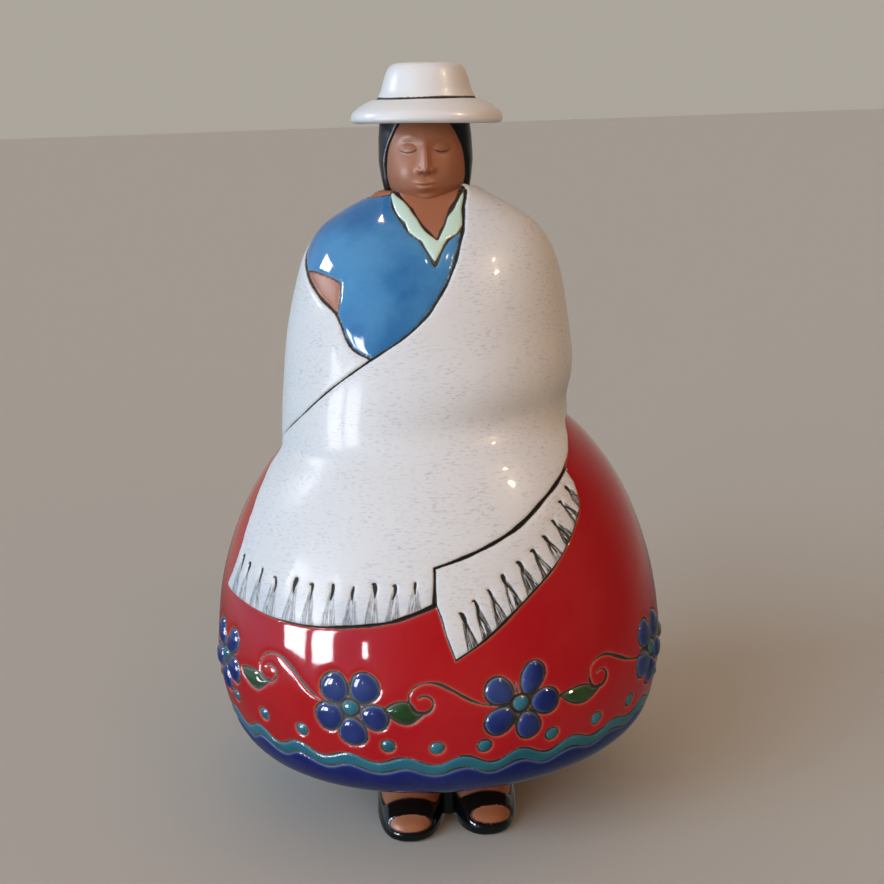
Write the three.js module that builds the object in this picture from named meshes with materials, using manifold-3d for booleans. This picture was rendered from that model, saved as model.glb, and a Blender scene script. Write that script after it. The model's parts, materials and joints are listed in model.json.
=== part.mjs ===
// Glazed ceramic figurine of a standing woman in a round skirt, a wrapped shawl and a brimmed hat.
// Millimetres, +Z up, the front towards -Y. It is one ceramic body, so it is one solid.
//
// The figure is first built upright and even, round the Z axis. A place on it is an angle from
// the front, in degrees towards +X, and a height. A gentle sway then makes it hand-built.
import * as THREE from 'three';
import { mergeVertices } from 'three/addons/utils/BufferGeometryUtils.js';
import Module from 'manifold-3d';

// Driving sizes
const HEIGHT = 300;
const SKIRT_BASE = 26;
const NECK_TOP = 252;
const BRIM_BASE = 277;
const WAIST = 157;
const CLOTH_RELIEF = 1.2;
const FOLD_RELIEF = 2.1;
const FOLD_END = 130;
const COLLAR_RELIEF = 1.3;
const BLOUSE_RELIEF = 0.7;
const BLOUSE_BASE = 185;
const END_TOP = 150;
const PETAL_RELIEF = 1.0;
const PILLOW_BASE = 0.93;
const PILLOW_TOP = 0.66;
const PILLOW_ROOT = 0.8;
const BAND_RELIEF = 0.4;

// The body's sections from the skirt's underside to the neck, each a half ellipse in front and
// another behind: height, half width, depth in front, depth behind
const SECTIONS = [
  [SKIRT_BASE, 57, 53, 57],
  [26.8, 64, 60.5, 64],
  [29.5, 71.9, 68.8, 72.3],
  [34, 79.2, 75.7, 79.4],
  [41, 85, 81.1, 84.8],
  [51, 88.5, 84, 88.2],
  [66, 91, 86, 90.2],
  [80, 90.4, 85.3, 89],
  [100, 87.4, 81.9, 85],
  [120, 81.2, 76.7, 79],
  [135, 74, 71, 72],
  [148, 65, 63.8, 63.3],
  [WAIST, 57.2, 56.6, 55.6],
  [163, 56.6, 54.3, 53.3],
  [175, 56.4, 52.6, 52.1],
  [190, 55.7, 50.1, 50.1],
  [205, 53.7, 46.5, 47.5],
  [218, 51, 41.2, 44.2],
  [228, 47.7, 35.3, 40.3],
  [237, 42, 26.8, 35.5],
  [244, 32.2, 18.5, 28.5],
  [249, 23.2, 13.5, 22.5],
  [NECK_TOP, 19, 10.5, 18.5],
];
const BODY_SIDES = 36;
const BODY_ROWS = 22;
const CURTAIN_STEP = 15;

// Edges of the cloth, as angle and height
const FOLD_EDGE = [
  [-77.5, 161.5], [-58, 170], [-40, 181.6], [-23.5, 192.7], [-10, 200.6], [-1.2, 207.3],
  [8.5, 217.8], [15.8, 226.5], [21.2, 232.2], [33.5, 240.8], [42.5, 245.3], [60, 250.6],
];
const ARM_EDGE = [
  [-172, 258], [-150, 249], [-110, 238], [-82, 227], [-70.5, 220.8], [-56.8, 214.2],
  [-43.5, 208.4], [-38.2, 202.2], [-31.5, 195.6], [-23.5, 192.7],
];
// The skirt shows behind the curved side of the folded front, between these two edges
const SIDE_LOW = [
  [-78, 95], [-69.4, 95], [-69.3, 104.4], [-67.7, 110], [-66.8, 117], [-66.6, 122.3],
];
const SIDE_HIGH = [
  [-78, 163], [-75.6, 153], [-71.6, 146.5], [-67.8, 135], [-67.2, 129], [-66.6, 122.7],
];
const PANEL_HEM = [
  [-77.5, 102.4], [-68.9, 102.4], [-65.6, 101.3], [-60, 100.4], [-47, 98.4], [-38.8, 98], [-29.8, 98.4],
  [-14.2, 101.2], [-6.7, 104.2], [-0.5, 107.6],
];
const FOLD_HEM = [
  [0, 120.5], [11.5, 124.7], [24, 130.3], [35.8, 137.2], [49.3, 144], [62.7, 151.8], [75, WAIST],
];
const END_HEM = [
  [0, 107.6], [1.2, 102.8], [2.2, 96.8], [4.3, 87.8], [12.2, 94.7], [23.8, 106.7], [34.7, 116.8],
  [45.2, 128.2], [49, 132.8], [51.2, 139.5],
];
const COLLAR_OUTER = [
  [-44, 247.3], [-34.2, 244.2], [-14.8, 237.2], [-4.5, 233.8], [0.2, 229.8], [4, 225.5],
  [7.8, 229.2], [14.8, 234], [29, 238.2],
];
const COLLAR_INNER = [
  [-44, 250], [-29.2, 247.8], [-18.7, 245.5], [-8.5, 241.7], [7.2, 234.3], [20.5, 242], [29, 244.8],
];
const SLEEVE_EDGE = [[-74.5, 222.8], [-58.5, 222.2], [-46.8, 219.4], [-44.6, 215.5], [-43, 209]];

// The pattern round the skirt. A petal is its turn, the distance of its middle, half its length
// and half its width. A leaf is moved out and stretched by the flower's reach, hangs by its sag,
// and is thinner the longer it is.
const PETALS = [
  [[132, 9.6, 5.9, 5.8], [54, 9.7, 6, 5.9], [-155, 9.8, 6, 5.7], [-88, 9.6, 5.8, 5.8],
    [-18, 10, 5.6, 5]],
  [[146, 9.7, 6, 5.2], [60, 10.4, 6.6, 4.6], [-4, 10.1, 5.8, 5.1], [-144, 10, 6.3, 5.2],
    [-71, 9.7, 5.7, 4.9]],
];
const FLOWERS = [
  { angle: -70, height: 74.6, turn: -17, kind: 1, reach: 7, sag: -2.4 },
  { angle: -22.5, height: 69.3, turn: 0, kind: 0, reach: 0, sag: -1 },
  { angle: 20, height: 69.4, turn: 0, kind: 1, reach: 7.5, sag: -1.8 },
  { angle: 68.8, height: 71.8, turn: -3, kind: 0, reach: 2, sag: -1 },
  { angle: 113, height: 73, turn: -25, kind: 1, reach: 1, sag: 0 },
  { angle: 159, height: 70.2, turn: 9, kind: 0, reach: 4, sag: -1 },
  { angle: 203, height: 69.8, turn: 28, kind: 1, reach: 2, sag: 0 },
  { angle: 246, height: 73.2, turn: -8, kind: 0, reach: 1, sag: -1 },
];
const LEAF = { along: 21.1, up: -0.6, length: 7.6, width: 4.4, slope: -9 };
const LEAF_MOVE = 0.7;
const LEAF_STRETCH = 0.28;
const LEAF_HANG = 0.6;
const LEAF_THINNING = 0.025;
const WAVES = 24;
const WAVE_PHASE = 5.5;
const BAND_TOP = 49.6;
const BAND_WIDTH = 4.9;
const WAVE_HEIGHT = 1.7;
const BAND_SWAY = 1.1;

// Head, hair and hat
const CHIN = 245.5;
const SKULL_TOP = 291;
const CHEEKS = 266;
const EYE_LINE = (CHIN + SKULL_TOP) / 2;
const NOSE_BASE = 258.7;
const MOUTH_LINE = 254.3;
const FACE_HALF = 16.3;
const FACE_DEPTH = 17;
const SKULL_DEPTH = 17.5;
const HEAD_OFFSET = 0.4;
const HEAD_ROWS = 13;
const HEAD_SIDES = 24;
const HAIR_HALF = 18.4;
const HAIR_DEPTH = 15.5;
const HAIR_BEHIND = 19.5;
const HAIR_SIDES = 26;
const HAIR_RINGS = [[246, 0.84], [250, 0.88], [256, 0.95], [263, 1], [272, 0.985], [281, 0.93]];
const ARCH = { half: 15.5, foot: 240, spring: 262, bend: 271, tip: 290 };
const HAT_OFFSET = 1.3;
const HAT_SIDES = 25;
const HAT_TILT = 1.3;
const HAT_PROFILE = [
  [0, 279], [23, 278.4], [27, 277.3], [29, 277.9], [29.6, 279.3], [28.6, 281.7],
  [25, 284.2], [22, 285.8], [19, 287.6], [17.8, 289.2], [15.8, 295.6], [14.4, 298.3],
  [11.8, HEIGHT - 0.2], [0, HEIGHT],
];

// Feet: each foot's sections are height, half width, and how far the front stands back
const FEET = [
  { x: -13.4, toe: -50.3, splay: -0.5, width: 1.03 },
  { x: 14.6, toe: -46.6, splay: 3, width: 0.98 },
];
const HEEL = 27;
const SOLE_RELIEF = 0.7;
const STRAP_RELIEF = 1;
const SOLE_TOP = 4.2;
const FOOT_TOP = 34;
const FOOT_SIDES = 14;
const SQUARENESS = 2.6;
const FOOT_SECTIONS = [
  [0, 12, 1], [1.5, 12.8, 0], [SOLE_TOP, 12.9, 0.1], [7, 12.6, 1.8], [10, 12.4, 6.5],
  [15, 12.4, 14.5], [FOOT_TOP, 13, 25],
];
const STRAP = { from: 6.2, to: 12.4 };
const WEB = { left: -4.5, right: 7.5, front: -26, back: 25 };
const HEEL_STRAP = { from: 8, top: 10 };

const wasm = await Module();
wasm.setup();

const radians = (degrees) => (degrees * Math.PI) / 180;
const bump = (offset, width) => Math.exp(-((offset / width) ** 2));

// A smooth curve through a list of rows, read at a row number with a fraction
function smoothRow(rows, place) {
  const last = rows.length - 1;
  const row = Math.min(Math.floor(Math.max(place, 0)), last - 1);
  const f = Math.min(Math.max(place - row, 0), 1);
  const at = (k) => rows[Math.min(Math.max(row + k, 0), last)];
  const [p0, p1, p2, p3] = [at(-1), at(0), at(1), at(2)];
  return p1.map((value, i) => 0.5 * (2 * value + (p2[i] - p0[i]) * f
    + (2 * p0[i] - 5 * value + 4 * p2[i] - p3[i]) * f ** 2
    + (3 * value - p0[i] - 3 * p2[i] + p3[i]) * f ** 3));
}

// The height of an edge at an angle, by straight steps between its points
function edgeHeight(edge, angle) {
  const points = edge[0][0] < edge[edge.length - 1][0] ? edge : [...edge].reverse();
  const next = points.findIndex((point) => point[0] >= angle);
  if (next === 0) return points[0][1];
  if (next < 0) return points[points.length - 1][1];
  const [a, b] = [points[next - 1], points[next]];
  return a[1] + ((b[1] - a[1]) * (angle - a[0])) / (b[0] - a[0]);
}

// The angles between which an edge runs
const ends = (edge) => [edge[0][0], edge[edge.length - 1][0]];

// The section row at a height, by halving
function rowAt(height) {
  let [low, high] = [0, SECTIONS.length - 1];
  for (let step = 0; step < 24; step += 1) {
    const middle = (low + high) / 2;
    if (smoothRow(SECTIONS, middle)[0] < height) low = middle;
    else high = middle;
  }
  return (low + high) / 2;
}

// Soft swellings of the body: bust, right shoulder, folded arms, and the hollow below them
function swelling(angle, height) {
  const turn = ((angle + 180) % 360 + 360) % 360 - 180;
  return 2.2 * bump(turn + 22, 24) * bump(height - 213, 13)
    + 1.1 * bump(turn + 75, 45) * bump(height - 241.5, 5.5)
    + 1.8 * bump(turn - 30, 48) * bump(height - 184, 11)
    - 2.6 * bump(turn - 42, 46) * bump(height - 166, 7);
}

// Distance from the axis and height of the body at an angle and section row
function bodyProfile(angle, place) {
  const [height, half, front, behind] = smoothRow(SECTIONS, place);
  const [s, c] = [Math.sin(radians(angle)), Math.cos(radians(angle))];
  const depth = c > 0 ? front : behind;
  return [1 / Math.hypot(s / half, c / depth) + swelling(angle, height), height];
}

// A point of the body, moved out along the surface's own slope by `out`
function bodyPoint(angle, place, out) {
  const nudge = 0.01;
  const [radius, height] = bodyProfile(angle, place);
  const [r0, z0] = bodyProfile(angle, Math.max(place - nudge, 0));
  const [r1, z1] = bodyProfile(angle, Math.min(place + nudge, SECTIONS.length - 1));
  const length = Math.hypot(r1 - r0, z1 - z0);
  const r = radius + (out * (z1 - z0)) / length;
  const z = height - (out * (r1 - r0)) / length;
  return [r * Math.sin(radians(angle)), -r * Math.cos(radians(angle)), z];
}

// A closed solid from rings of points that run anticlockwise seen from above, lowest first
function ringSolid(rings) {
  const sides = rings[0].length;
  const middle = (ring) => [0, 1, 2].map((i) => ring.reduce((sum, p) => sum + p[i], 0) / sides);
  const points = [middle(rings[0]), ...rings.flat(), middle(rings[rings.length - 1])];
  const index = [];
  rings.forEach((ring, row) => {
    for (let i = 0; i < sides; i += 1) {
      const [a, b] = [1 + row * sides + i, 1 + row * sides + ((i + 1) % sides)];
      if (row === 0) index.push(0, b, a);
      if (row === rings.length - 1) index.push(points.length - 1, a, b);
      else index.push(a, b, b + sides, a, b + sides, a + sides);
    }
  });
  return solidOf(points, index);
}

function solidOf(points, index) {
  const mesh = new wasm.Mesh({
    numProp: 3,
    vertProperties: new Float32Array(points.flat()),
    triVerts: new Uint32Array(index),
  });
  return new wasm.Manifold(mesh);
}

// The whole body, swelled by `out`, which may change with the angle
function bodySolid(out) {
  const rings = [];
  const last = SECTIONS.length - 1;
  for (let row = 0; row <= BODY_ROWS; row += 1) {
    const place = (last * row) / BODY_ROWS;
    const ring = [];
    for (let i = 0; i < BODY_SIDES; i += 1) {
      const angle = (360 * i) / BODY_SIDES;
      ring.push(bodyPoint(angle, place, out(angle)));
    }
    rings.push(ring);
  }
  return ringSolid(rings);
}

// A curtain: everything between two heights that change with the angle, from near the axis out
// past the figure. Cutting a swelled body with it leaves one layer of cloth.
function curtain(from, to, bottom, top) {
  const near = 5;
  const far = 130;
  const steps = new Set([from, to]);
  for (let angle = from; angle < to; angle += CURTAIN_STEP) steps.add(angle);
  [bottom, top].forEach((edge) => {
    if (Array.isArray(edge)) {
      edge.forEach(([angle]) => { if (angle > from && angle < to) steps.add(angle); });
    }
  });
  const angles = [...steps].sort((a, b) => a - b);
  const read = (edge, angle) => (Array.isArray(edge) ? edgeHeight(edge, angle) : edge(angle));
  const around = to - from >= 360;
  if (around) angles.pop();
  const points = [];
  angles.forEach((angle) => {
    const [s, c] = [Math.sin(radians(angle)), Math.cos(radians(angle))];
    const [low, high] = [read(bottom, angle), read(top, angle)];
    points.push([near * s, -near * c, low], [far * s, -far * c, low]);
    points.push([far * s, -far * c, high], [near * s, -near * c, high]);
  });
  const index = [];
  const count = angles.length;
  for (let k = 0; k < (around ? count : count - 1); k += 1) {
    const [a, b] = [4 * k, 4 * ((k + 1) % count)];
    for (let i = 0; i < 4; i += 1) {
      const j = (i + 1) % 4;
      index.push(a + i, b + i, b + j, a + i, b + j, a + j);
    }
  }
  if (!around) {
    const e = 4 * (count - 1);
    index.push(0, 1, 2, 0, 2, 3, e, e + 2, e + 1, e, e + 3, e + 2);
  }
  return solidOf(points, index);
}

// The body with its clothes, layer on layer. Each layer is a swelled body cut by a curtain.
function dressedBody() {
  const level = (height) => () => height;
  const above = NECK_TOP + 6;
  const [foldStart, shoulderStart] = ends(FOLD_EDGE);
  const shoulder = [[shoulderStart + 0.1, above], [185, above]];
  const shawlTop = [...ARM_EDGE, ...FOLD_EDGE, ...shoulder].sort((a, b) => a[0] - b[0]);
  const foldLow = [...PANEL_HEM, ...FOLD_HEM, [FOLD_END, WAIST]];
  const foldHigh = [...FOLD_EDGE, ...shoulder];
  const foldOut = (angle) => {
    const fade = Math.min(Math.max((angle - shoulderStart) / (FOLD_END - shoulderStart), 0), 1);
    return angle > 180 ? FOLD_RELIEF : FOLD_RELIEF - fade * (FOLD_RELIEF - CLOTH_RELIEF + 0.2);
  };
  const shawl = bodySolid(level(CLOTH_RELIEF));
  const blouse = bodySolid(level(BLOUSE_RELIEF))
    .intersect(curtain(-185, 75, level(BLOUSE_BASE), level(NECK_TOP - 1)))
    .subtract(curtain(...ends(SLEEVE_EDGE), ARM_EDGE, SLEEVE_EDGE));
  return bodySolid(level(0))
    .add(blouse)
    .add(bodySolid(level(COLLAR_RELIEF))
      .intersect(curtain(...ends(COLLAR_OUTER), COLLAR_OUTER, COLLAR_INNER)))
    .add(shawl.intersect(curtain(-175, 185, level(WAIST), shawlTop)))
    .add(shawl.intersect(curtain(...ends(END_HEM), END_HEM, level(END_TOP))))
    .add(bodySolid(foldOut).intersect(curtain(foldStart, FOLD_END, foldLow, foldHigh))
      .subtract(curtain(...ends(SIDE_LOW), SIDE_LOW, SIDE_HIGH)));
}

// A point near a place on the body: `u` along the ring, `v` up the surface, `out` off it
function nearPoint(angle, height, u, v, out) {
  const step = 0.05;
  const place = rowAt(height);
  const [r0, z0] = bodyProfile(angle, place);
  const [r1, z1] = bodyProfile(angle, place + step);
  const arc = Math.hypot(r1 - r0, z1 - z0) / step;
  return bodyPoint(angle + (u / r0) * (180 / Math.PI), place + v / arc, out);
}

// A low pillow on the body with the outline of an ellipse or, where `pointed`, of a leaf
function pillow(angle, height, centre, turn, along, across, relief, pointed) {
  const sides = 6;
  const [s, c] = [Math.sin(radians(turn)), Math.cos(radians(turn))];
  const ring = (scale, out) => {
    const points = [];
    for (let i = 0; i < sides; i += 1) {
      const a = (2 * Math.PI * i) / sides;
      const x = along * scale * Math.cos(a);
      const y = across * scale * (pointed ? Math.sin(a) * Math.abs(Math.sin(a)) : Math.sin(a));
      points.push(nearPoint(angle, height, centre[0] + x * c - y * s, centre[1] + x * s + y * c, out));
    }
    return points;
  };
  return ringSolid([ring(PILLOW_BASE, -PILLOW_ROOT), ring(PILLOW_TOP, relief)]);
}

const swayed = (height, sway, angle) => height - sway * Math.cos(radians(2 * angle));

// Flowers with five petals and a leaf each
function skirtPattern() {
  const solids = [];
  FLOWERS.forEach(({ angle, height, turn, kind, reach, sag }) => {
    PETALS[kind].forEach(([petalTurn, distance, half, halfWidth]) => {
      const petal = petalTurn + turn;
      const centre = [distance * Math.cos(radians(petal)), distance * Math.sin(radians(petal))];
      solids.push(pillow(angle, height, centre, petal, half, halfWidth, PETAL_RELIEF));
    });
    const leafCentre = [LEAF.along + LEAF_MOVE * reach, LEAF.up + LEAF_HANG * sag];
    const length = LEAF.length + LEAF_STRETCH * reach;
    const width = LEAF.width * (1 - LEAF_THINNING * reach);
    solids.push(pillow(angle, height, leafCentre, LEAF.slope, length, width, PETAL_RELIEF, true));
  });
  return solids;
}

// The raised wavy band above the hem
function waveBand() {
  const points = [];
  const index = [];
  const steps = WAVES * 2;
  const corners = [[0, -1], [0, BAND_RELIEF], [BAND_WIDTH, BAND_RELIEF], [BAND_WIDTH, -1]];
  for (let k = 0; k < steps; k += 1) {
    const angle = WAVE_PHASE + (360 * k) / steps;
    const wave = WAVE_HEIGHT * Math.cos(radians(WAVES * (angle - WAVE_PHASE)));
    const top = swayed(BAND_TOP, BAND_SWAY, angle) + wave;
    corners.forEach(([down, out]) => points.push(bodyPoint(angle, rowAt(top - down), out)));
    for (let i = 0; i < 4; i += 1) {
      const [a, b] = [4 * k + i, 4 * k + ((i + 1) % 4)];
      const [c, d] = [(a + 4) % (4 * steps), (b + 4) % (4 * steps)];
      index.push(a, b, d, a, d, c);
    }
  }
  return solidOf(points, index);
}

// Calm, even features: how far the face stands out of the egg of the head
function features(x, z) {
  const side = Math.abs(x);
  const eye = FACE_HALF / 2.5;
  const down = (EYE_LINE - z) / (EYE_LINE - NOSE_BASE);
  const bridge = Math.min(Math.max(down + 0.1, 0), 1);
  const underNose = 1 / (1 + Math.exp((NOSE_BASE - z) * 2.2));
  return -1.3 * bump(side - eye, 4) * bump(z - EYE_LINE, 2.6)
    + 0.8 * bump(side - eye, 2.8) * bump(z - EYE_LINE + 0.8, 1.5)
    + (0.8 + 2.8 * bridge) * bump(x, 1.5 + 1.2 * bridge) * underNose * bump(Math.max(z - EYE_LINE, 0), 3)
    + 1.3 * bump(x, 4.2) * bump(z - MOUTH_LINE, 1.9)
    + 1.8 * bump(x, 5) * bump(z - CHIN - 3.2, 2.6)
    + 0.8 * bump(side - 8.5, 4.5) * bump(z - NOSE_BASE, 4.5);
}

// The head: an egg, wider above, with its features in front
function headSolid() {
  const rings = [];
  const pole = 0.35;
  for (let row = 0; row <= HEAD_ROWS; row += 1) {
    const lift = -Math.cos((Math.PI * (row + pole)) / (HEAD_ROWS + 2 * pole));
    const z = CHEEKS + lift * (lift < 0 ? CHEEKS - CHIN : SKULL_TOP - CHEEKS);
    const narrow = lift < 0 ? Math.sqrt(1 - Math.abs(lift) ** 3.6) : Math.sqrt(1 - lift ** 2);
    const jaw = lift < 0 ? (1 - Math.abs(lift) ** 3.2) ** 0.45 : narrow;
    const ring = [];
    for (let i = 0; i < HEAD_SIDES; i += 1) {
      const even = (2 * Math.PI * i) / HEAD_SIDES;
      const a = even - 0.4 * Math.sin(even);
      const depth = Math.cos(a) > 0 ? FACE_DEPTH * jaw : SKULL_DEPTH * narrow;
      const x = FACE_HALF * narrow * Math.sin(a);
      const front = Math.cos(a) > 0 ? features(x, z) * Math.cos(a) ** 0.5 : 0;
      ring.push([x + HEAD_OFFSET, -depth * Math.cos(a) - front, z]);
    }
    rings.push(ring);
  }
  return ringSolid(rings);
}

// Smooth hair round the head, with a pointed arch cut in front for the face
function hairSolid() {
  const rings = HAIR_RINGS.map(([z, scale]) => {
    const ring = [];
    for (let i = 0; i < HAIR_SIDES; i += 1) {
      const a = (2 * Math.PI * i) / HAIR_SIDES;
      const depth = Math.cos(a) > 0 ? HAIR_DEPTH : HAIR_BEHIND;
      ring.push([HAIR_HALF * scale * Math.sin(a) + HEAD_OFFSET, -depth * scale * Math.cos(a), z]);
    }
    return ring;
  });
  const { half, foot, spring, bend, tip } = ARCH;
  const arch = new THREE.Shape();
  arch.moveTo(HEAD_OFFSET - half, foot);
  arch.lineTo(HEAD_OFFSET - half, spring);
  arch.quadraticCurveTo(HEAD_OFFSET - half, bend, HEAD_OFFSET, tip);
  arch.quadraticCurveTo(HEAD_OFFSET + half, bend, HEAD_OFFSET + half, spring);
  arch.lineTo(HEAD_OFFSET + half, foot);
  const opening = new THREE.ExtrudeGeometry(arch, { depth: 30, bevelEnabled: false, curveSegments: 8 });
  opening.translate(0, 0, 4);
  opening.rotateX(Math.PI / 2);
  return ringSolid(rings).subtract(solidFrom(opening));
}

// A solid from a three.js geometry
function solidFrom(geometry) {
  const bare = geometry.clone();
  bare.deleteAttribute('normal');
  bare.deleteAttribute('uv');
  const merged = mergeVertices(bare, 1e-4);
  const positions = Array.from(merged.attributes.position.array);
  return solidOf([positions], Array.from(merged.index.array));
}

function hatSolid() {
  const profile = HAT_PROFILE.map(([radius, z]) => new THREE.Vector2(radius, z - BRIM_BASE));
  const hat = new THREE.LatheGeometry(profile, HAT_SIDES);
  hat.rotateX(Math.PI / 2);
  hat.rotateY(radians(HAT_TILT));
  hat.translate(HAT_OFFSET, 0, BRIM_BASE);
  return solidFrom(hat);
}

// A foot up to a height, swelled by `out` for the leather over it
function footSolid({ x, toe, splay, width }, out, top) {
  const corner = (value) => Math.sign(value) * Math.abs(value) ** (2 / SQUARENESS);
  const [s, c] = [Math.sin(radians(splay)), Math.cos(radians(splay))];
  const rows = FOOT_SECTIONS.filter(([z]) => z <= top);
  return ringSolid(rows.map(([z, half, back]) => {
    const front = toe + back - out;
    const heel = HEEL + out;
    const ring = [];
    for (let i = 0; i < FOOT_SIDES; i += 1) {
      const a = (2 * Math.PI * i) / FOOT_SIDES;
      const across = (half * width + out) * corner(Math.sin(a));
      const along = (front + heel) / 2 - ((heel - front) / 2) * corner(Math.cos(a));
      ring.push([x + across * c - along * s, along * c + across * s, z]);
    }
    return ring;
  }));
}

function block(x0, x1, y0, y1, z0, z1) {
  const box = new THREE.BoxGeometry(x1 - x0, y1 - y0, z1 - z0);
  box.translate((x0 + x1) / 2, (y0 + y1) / 2, (z0 + z1) / 2);
  return solidFrom(box);
}

// Both feet in sandals: a low sole, a strap over the instep and one round the heel
function feetSolid() {
  const parts = [block(WEB.left, WEB.right, WEB.front, WEB.back, 0, SKIRT_BASE + 4)];
  FEET.forEach((foot) => {
    const swelled = footSolid(foot, STRAP_RELIEF, FOOT_TOP);
    const [left, right] = [foot.x - 20, foot.x + 20];
    parts.push(footSolid(foot, 0, FOOT_TOP), footSolid(foot, SOLE_RELIEF, SOLE_TOP));
    parts.push(swelled.intersect(block(left, right, foot.toe + STRAP.from, foot.toe + STRAP.to, 0, 30)));
    parts.push(swelled.intersect(block(left, right, HEEL_STRAP.from, 40, 0, HEEL_STRAP.top)));
  });
  return parts;
}

// The sway of a hand-built figure: its waist leans over and lies higher on its left side
function sway(x, y, z) {
  const waist = z - WAIST;
  const lean = -2.6 * bump(waist, 24) + 1.1 * THREE.MathUtils.smoothstep(z, 195, 225);
  const lift = 4 * bump(waist, waist < 0 ? 32 : 21) + 1.2 * bump(z - SKIRT_BASE, 12);
  return [x + lean, y, z + (lift * x) / 57];
}

// The finished geometry, standing on the ground and centred over its own outline
function figureGeometry(solid) {
  const mesh = solid.getMesh();
  const positions = [];
  for (let i = 0; i < mesh.vertProperties.length; i += mesh.numProp) {
    positions.push(...sway(...mesh.vertProperties.slice(i, i + 3)));
  }
  const geometry = new THREE.BufferGeometry();
  geometry.setAttribute('position', new THREE.Float32BufferAttribute(positions, 3));
  geometry.setIndex(Array.from(mesh.triVerts));
  geometry.computeBoundingBox();
  const { min, max } = geometry.boundingBox;
  geometry.translate(-(min.x + max.x) / 2, -(min.y + max.y) / 2, -min.z);
  geometry.computeVertexNormals();
  return geometry;
}

const parts = [...skirtPattern(), waveBand(), headSolid(), hairSolid(), hatSolid(), ...feetSolid()];
const whole = parts.reduce((solid, part) => solid.add(part), dressedBody());
const glaze = new THREE.MeshStandardMaterial({ color: 0xe8e4de, roughness: 0.15, metalness: 0 });
const figurine = new THREE.Mesh(figureGeometry(whole), glaze);
figurine.name = 'figurine';

const model = new THREE.Group();
model.add(figurine);

export default model;
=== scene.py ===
# %% [markdown]
# # A glazed ceramic woman, built as one shell
#
# The real figure is one hollow body of clay. Lines were carved into it, every field between the
# lines was flooded with its own coloured glaze, and face, neck and feet were left as satin
# terracotta. This script makes that body as one mesh. Each part of it (body, head, hair, hat,
# feet) is a surface worked out from an angle and a row, refined where the carving is fine, and
# then all parts are joined by a Boolean. The colours follow the same lines, as attributes.

# %% Load the frame
import json
import math

import bpy
import numpy as np
from mathutils import Matrix, Vector

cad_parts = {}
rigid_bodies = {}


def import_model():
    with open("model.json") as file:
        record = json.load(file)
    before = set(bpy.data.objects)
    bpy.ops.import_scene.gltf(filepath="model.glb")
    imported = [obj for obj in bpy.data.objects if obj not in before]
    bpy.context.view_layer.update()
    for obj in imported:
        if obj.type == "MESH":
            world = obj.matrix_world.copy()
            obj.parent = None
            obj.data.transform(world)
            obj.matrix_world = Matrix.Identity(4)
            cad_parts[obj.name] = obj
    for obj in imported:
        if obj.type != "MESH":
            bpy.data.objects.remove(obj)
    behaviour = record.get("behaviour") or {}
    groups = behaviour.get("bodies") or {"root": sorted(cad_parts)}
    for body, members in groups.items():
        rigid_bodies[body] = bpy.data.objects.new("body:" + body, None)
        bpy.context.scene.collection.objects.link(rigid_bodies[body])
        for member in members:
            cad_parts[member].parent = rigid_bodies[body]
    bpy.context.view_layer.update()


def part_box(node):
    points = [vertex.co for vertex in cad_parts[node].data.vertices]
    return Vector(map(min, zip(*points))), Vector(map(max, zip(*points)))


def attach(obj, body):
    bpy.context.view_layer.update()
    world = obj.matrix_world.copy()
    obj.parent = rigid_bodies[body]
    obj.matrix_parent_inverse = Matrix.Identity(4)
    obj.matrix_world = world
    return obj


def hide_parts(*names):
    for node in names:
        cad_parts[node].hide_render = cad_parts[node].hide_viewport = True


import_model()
low, high = (np.array(corner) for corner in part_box("figurine"))
print("frame box, mm:", np.round((high - low) * 1000, 1))

# %% [markdown]
# ## Sizes
#
# All sizes below are millimetres on an upright, even figure, with the front towards -Y. A place
# on it is an angle from the front, in degrees towards +X, and a height. At the end the whole
# mesh is swayed a little, turned into metres, and centred in the frame, standing on its bottom.

# %% Driving sizes
HEIGHT = 300
SKIRT_BASE = 26
NECK_TOP = 252
WAIST = 157
BRIM_BASE = 277
CLOTH_RELIEF = 1.2
FOLD_RELIEF = 2.1
COLLAR_RELIEF = 1.3
BLOUSE_RELIEF = 0.7
PETAL_RELIEF = 1.0
CARVE_DEPTH = 0.55
PILLOW = 0.3
FINE_LINE = 0.74
FINE_BACK = 1.2
FINE_FRINGE = 0.46

# height, half width, depth in front, depth behind
SECTIONS = np.array([
    [SKIRT_BASE, 57, 53, 57],
    [26.8, 64, 60.5, 64],
    [29.5, 71.9, 68.8, 72.3],
    [34, 79.2, 75.7, 79.4],
    [41, 85, 81.1, 84.8],
    [51, 88.5, 84, 88.2],
    [66, 91, 86, 90.2],
    [80, 90.4, 85.3, 89],
    [100, 87.4, 81.9, 85],
    [120, 81.2, 76.7, 79],
    [135, 74, 71, 72],
    [148, 65, 63.8, 63.3],
    [WAIST, 57.2, 56.6, 55.6],
    [163, 56.6, 54.3, 53.3],
    [175, 56.4, 52.6, 52.1],
    [190, 55.7, 50.1, 50.1],
    [205, 53.7, 46.5, 47.5],
    [218, 51, 41.2, 44.2],
    [228, 47.7, 35.3, 40.3],
    [237, 42, 26.8, 35.5],
    [244, 32.2, 18.5, 28.5],
    [249, 23.2, 13.5, 22.5],
    [NECK_TOP, 19, 10.5, 18.5],
])
LAST_ROW = len(SECTIONS) - 1

# %% [markdown]
# ## Shapes as whole arrays
#
# A bell of sections could be lofted with curves and a Skin modifier, but a formula keeps the
# form exactly that of the frame, and lets every carved line be measured on it. The sections are
# read through a Catmull-Rom curve, and each is half an ellipse in front and half behind.

# %% Small numpy helpers
def bump(offset, width):
    """A bell, exp(-(offset / width)^2)."""
    return np.exp(-(offset / width) ** 2)


def ramp(value, start, end):
    """0 before start, 1 after end, and 3t^2 - 2t^3 between."""
    t = np.clip((value - start) / (end - start), 0, 1)
    return t * t * (3 - 2 * t)


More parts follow.
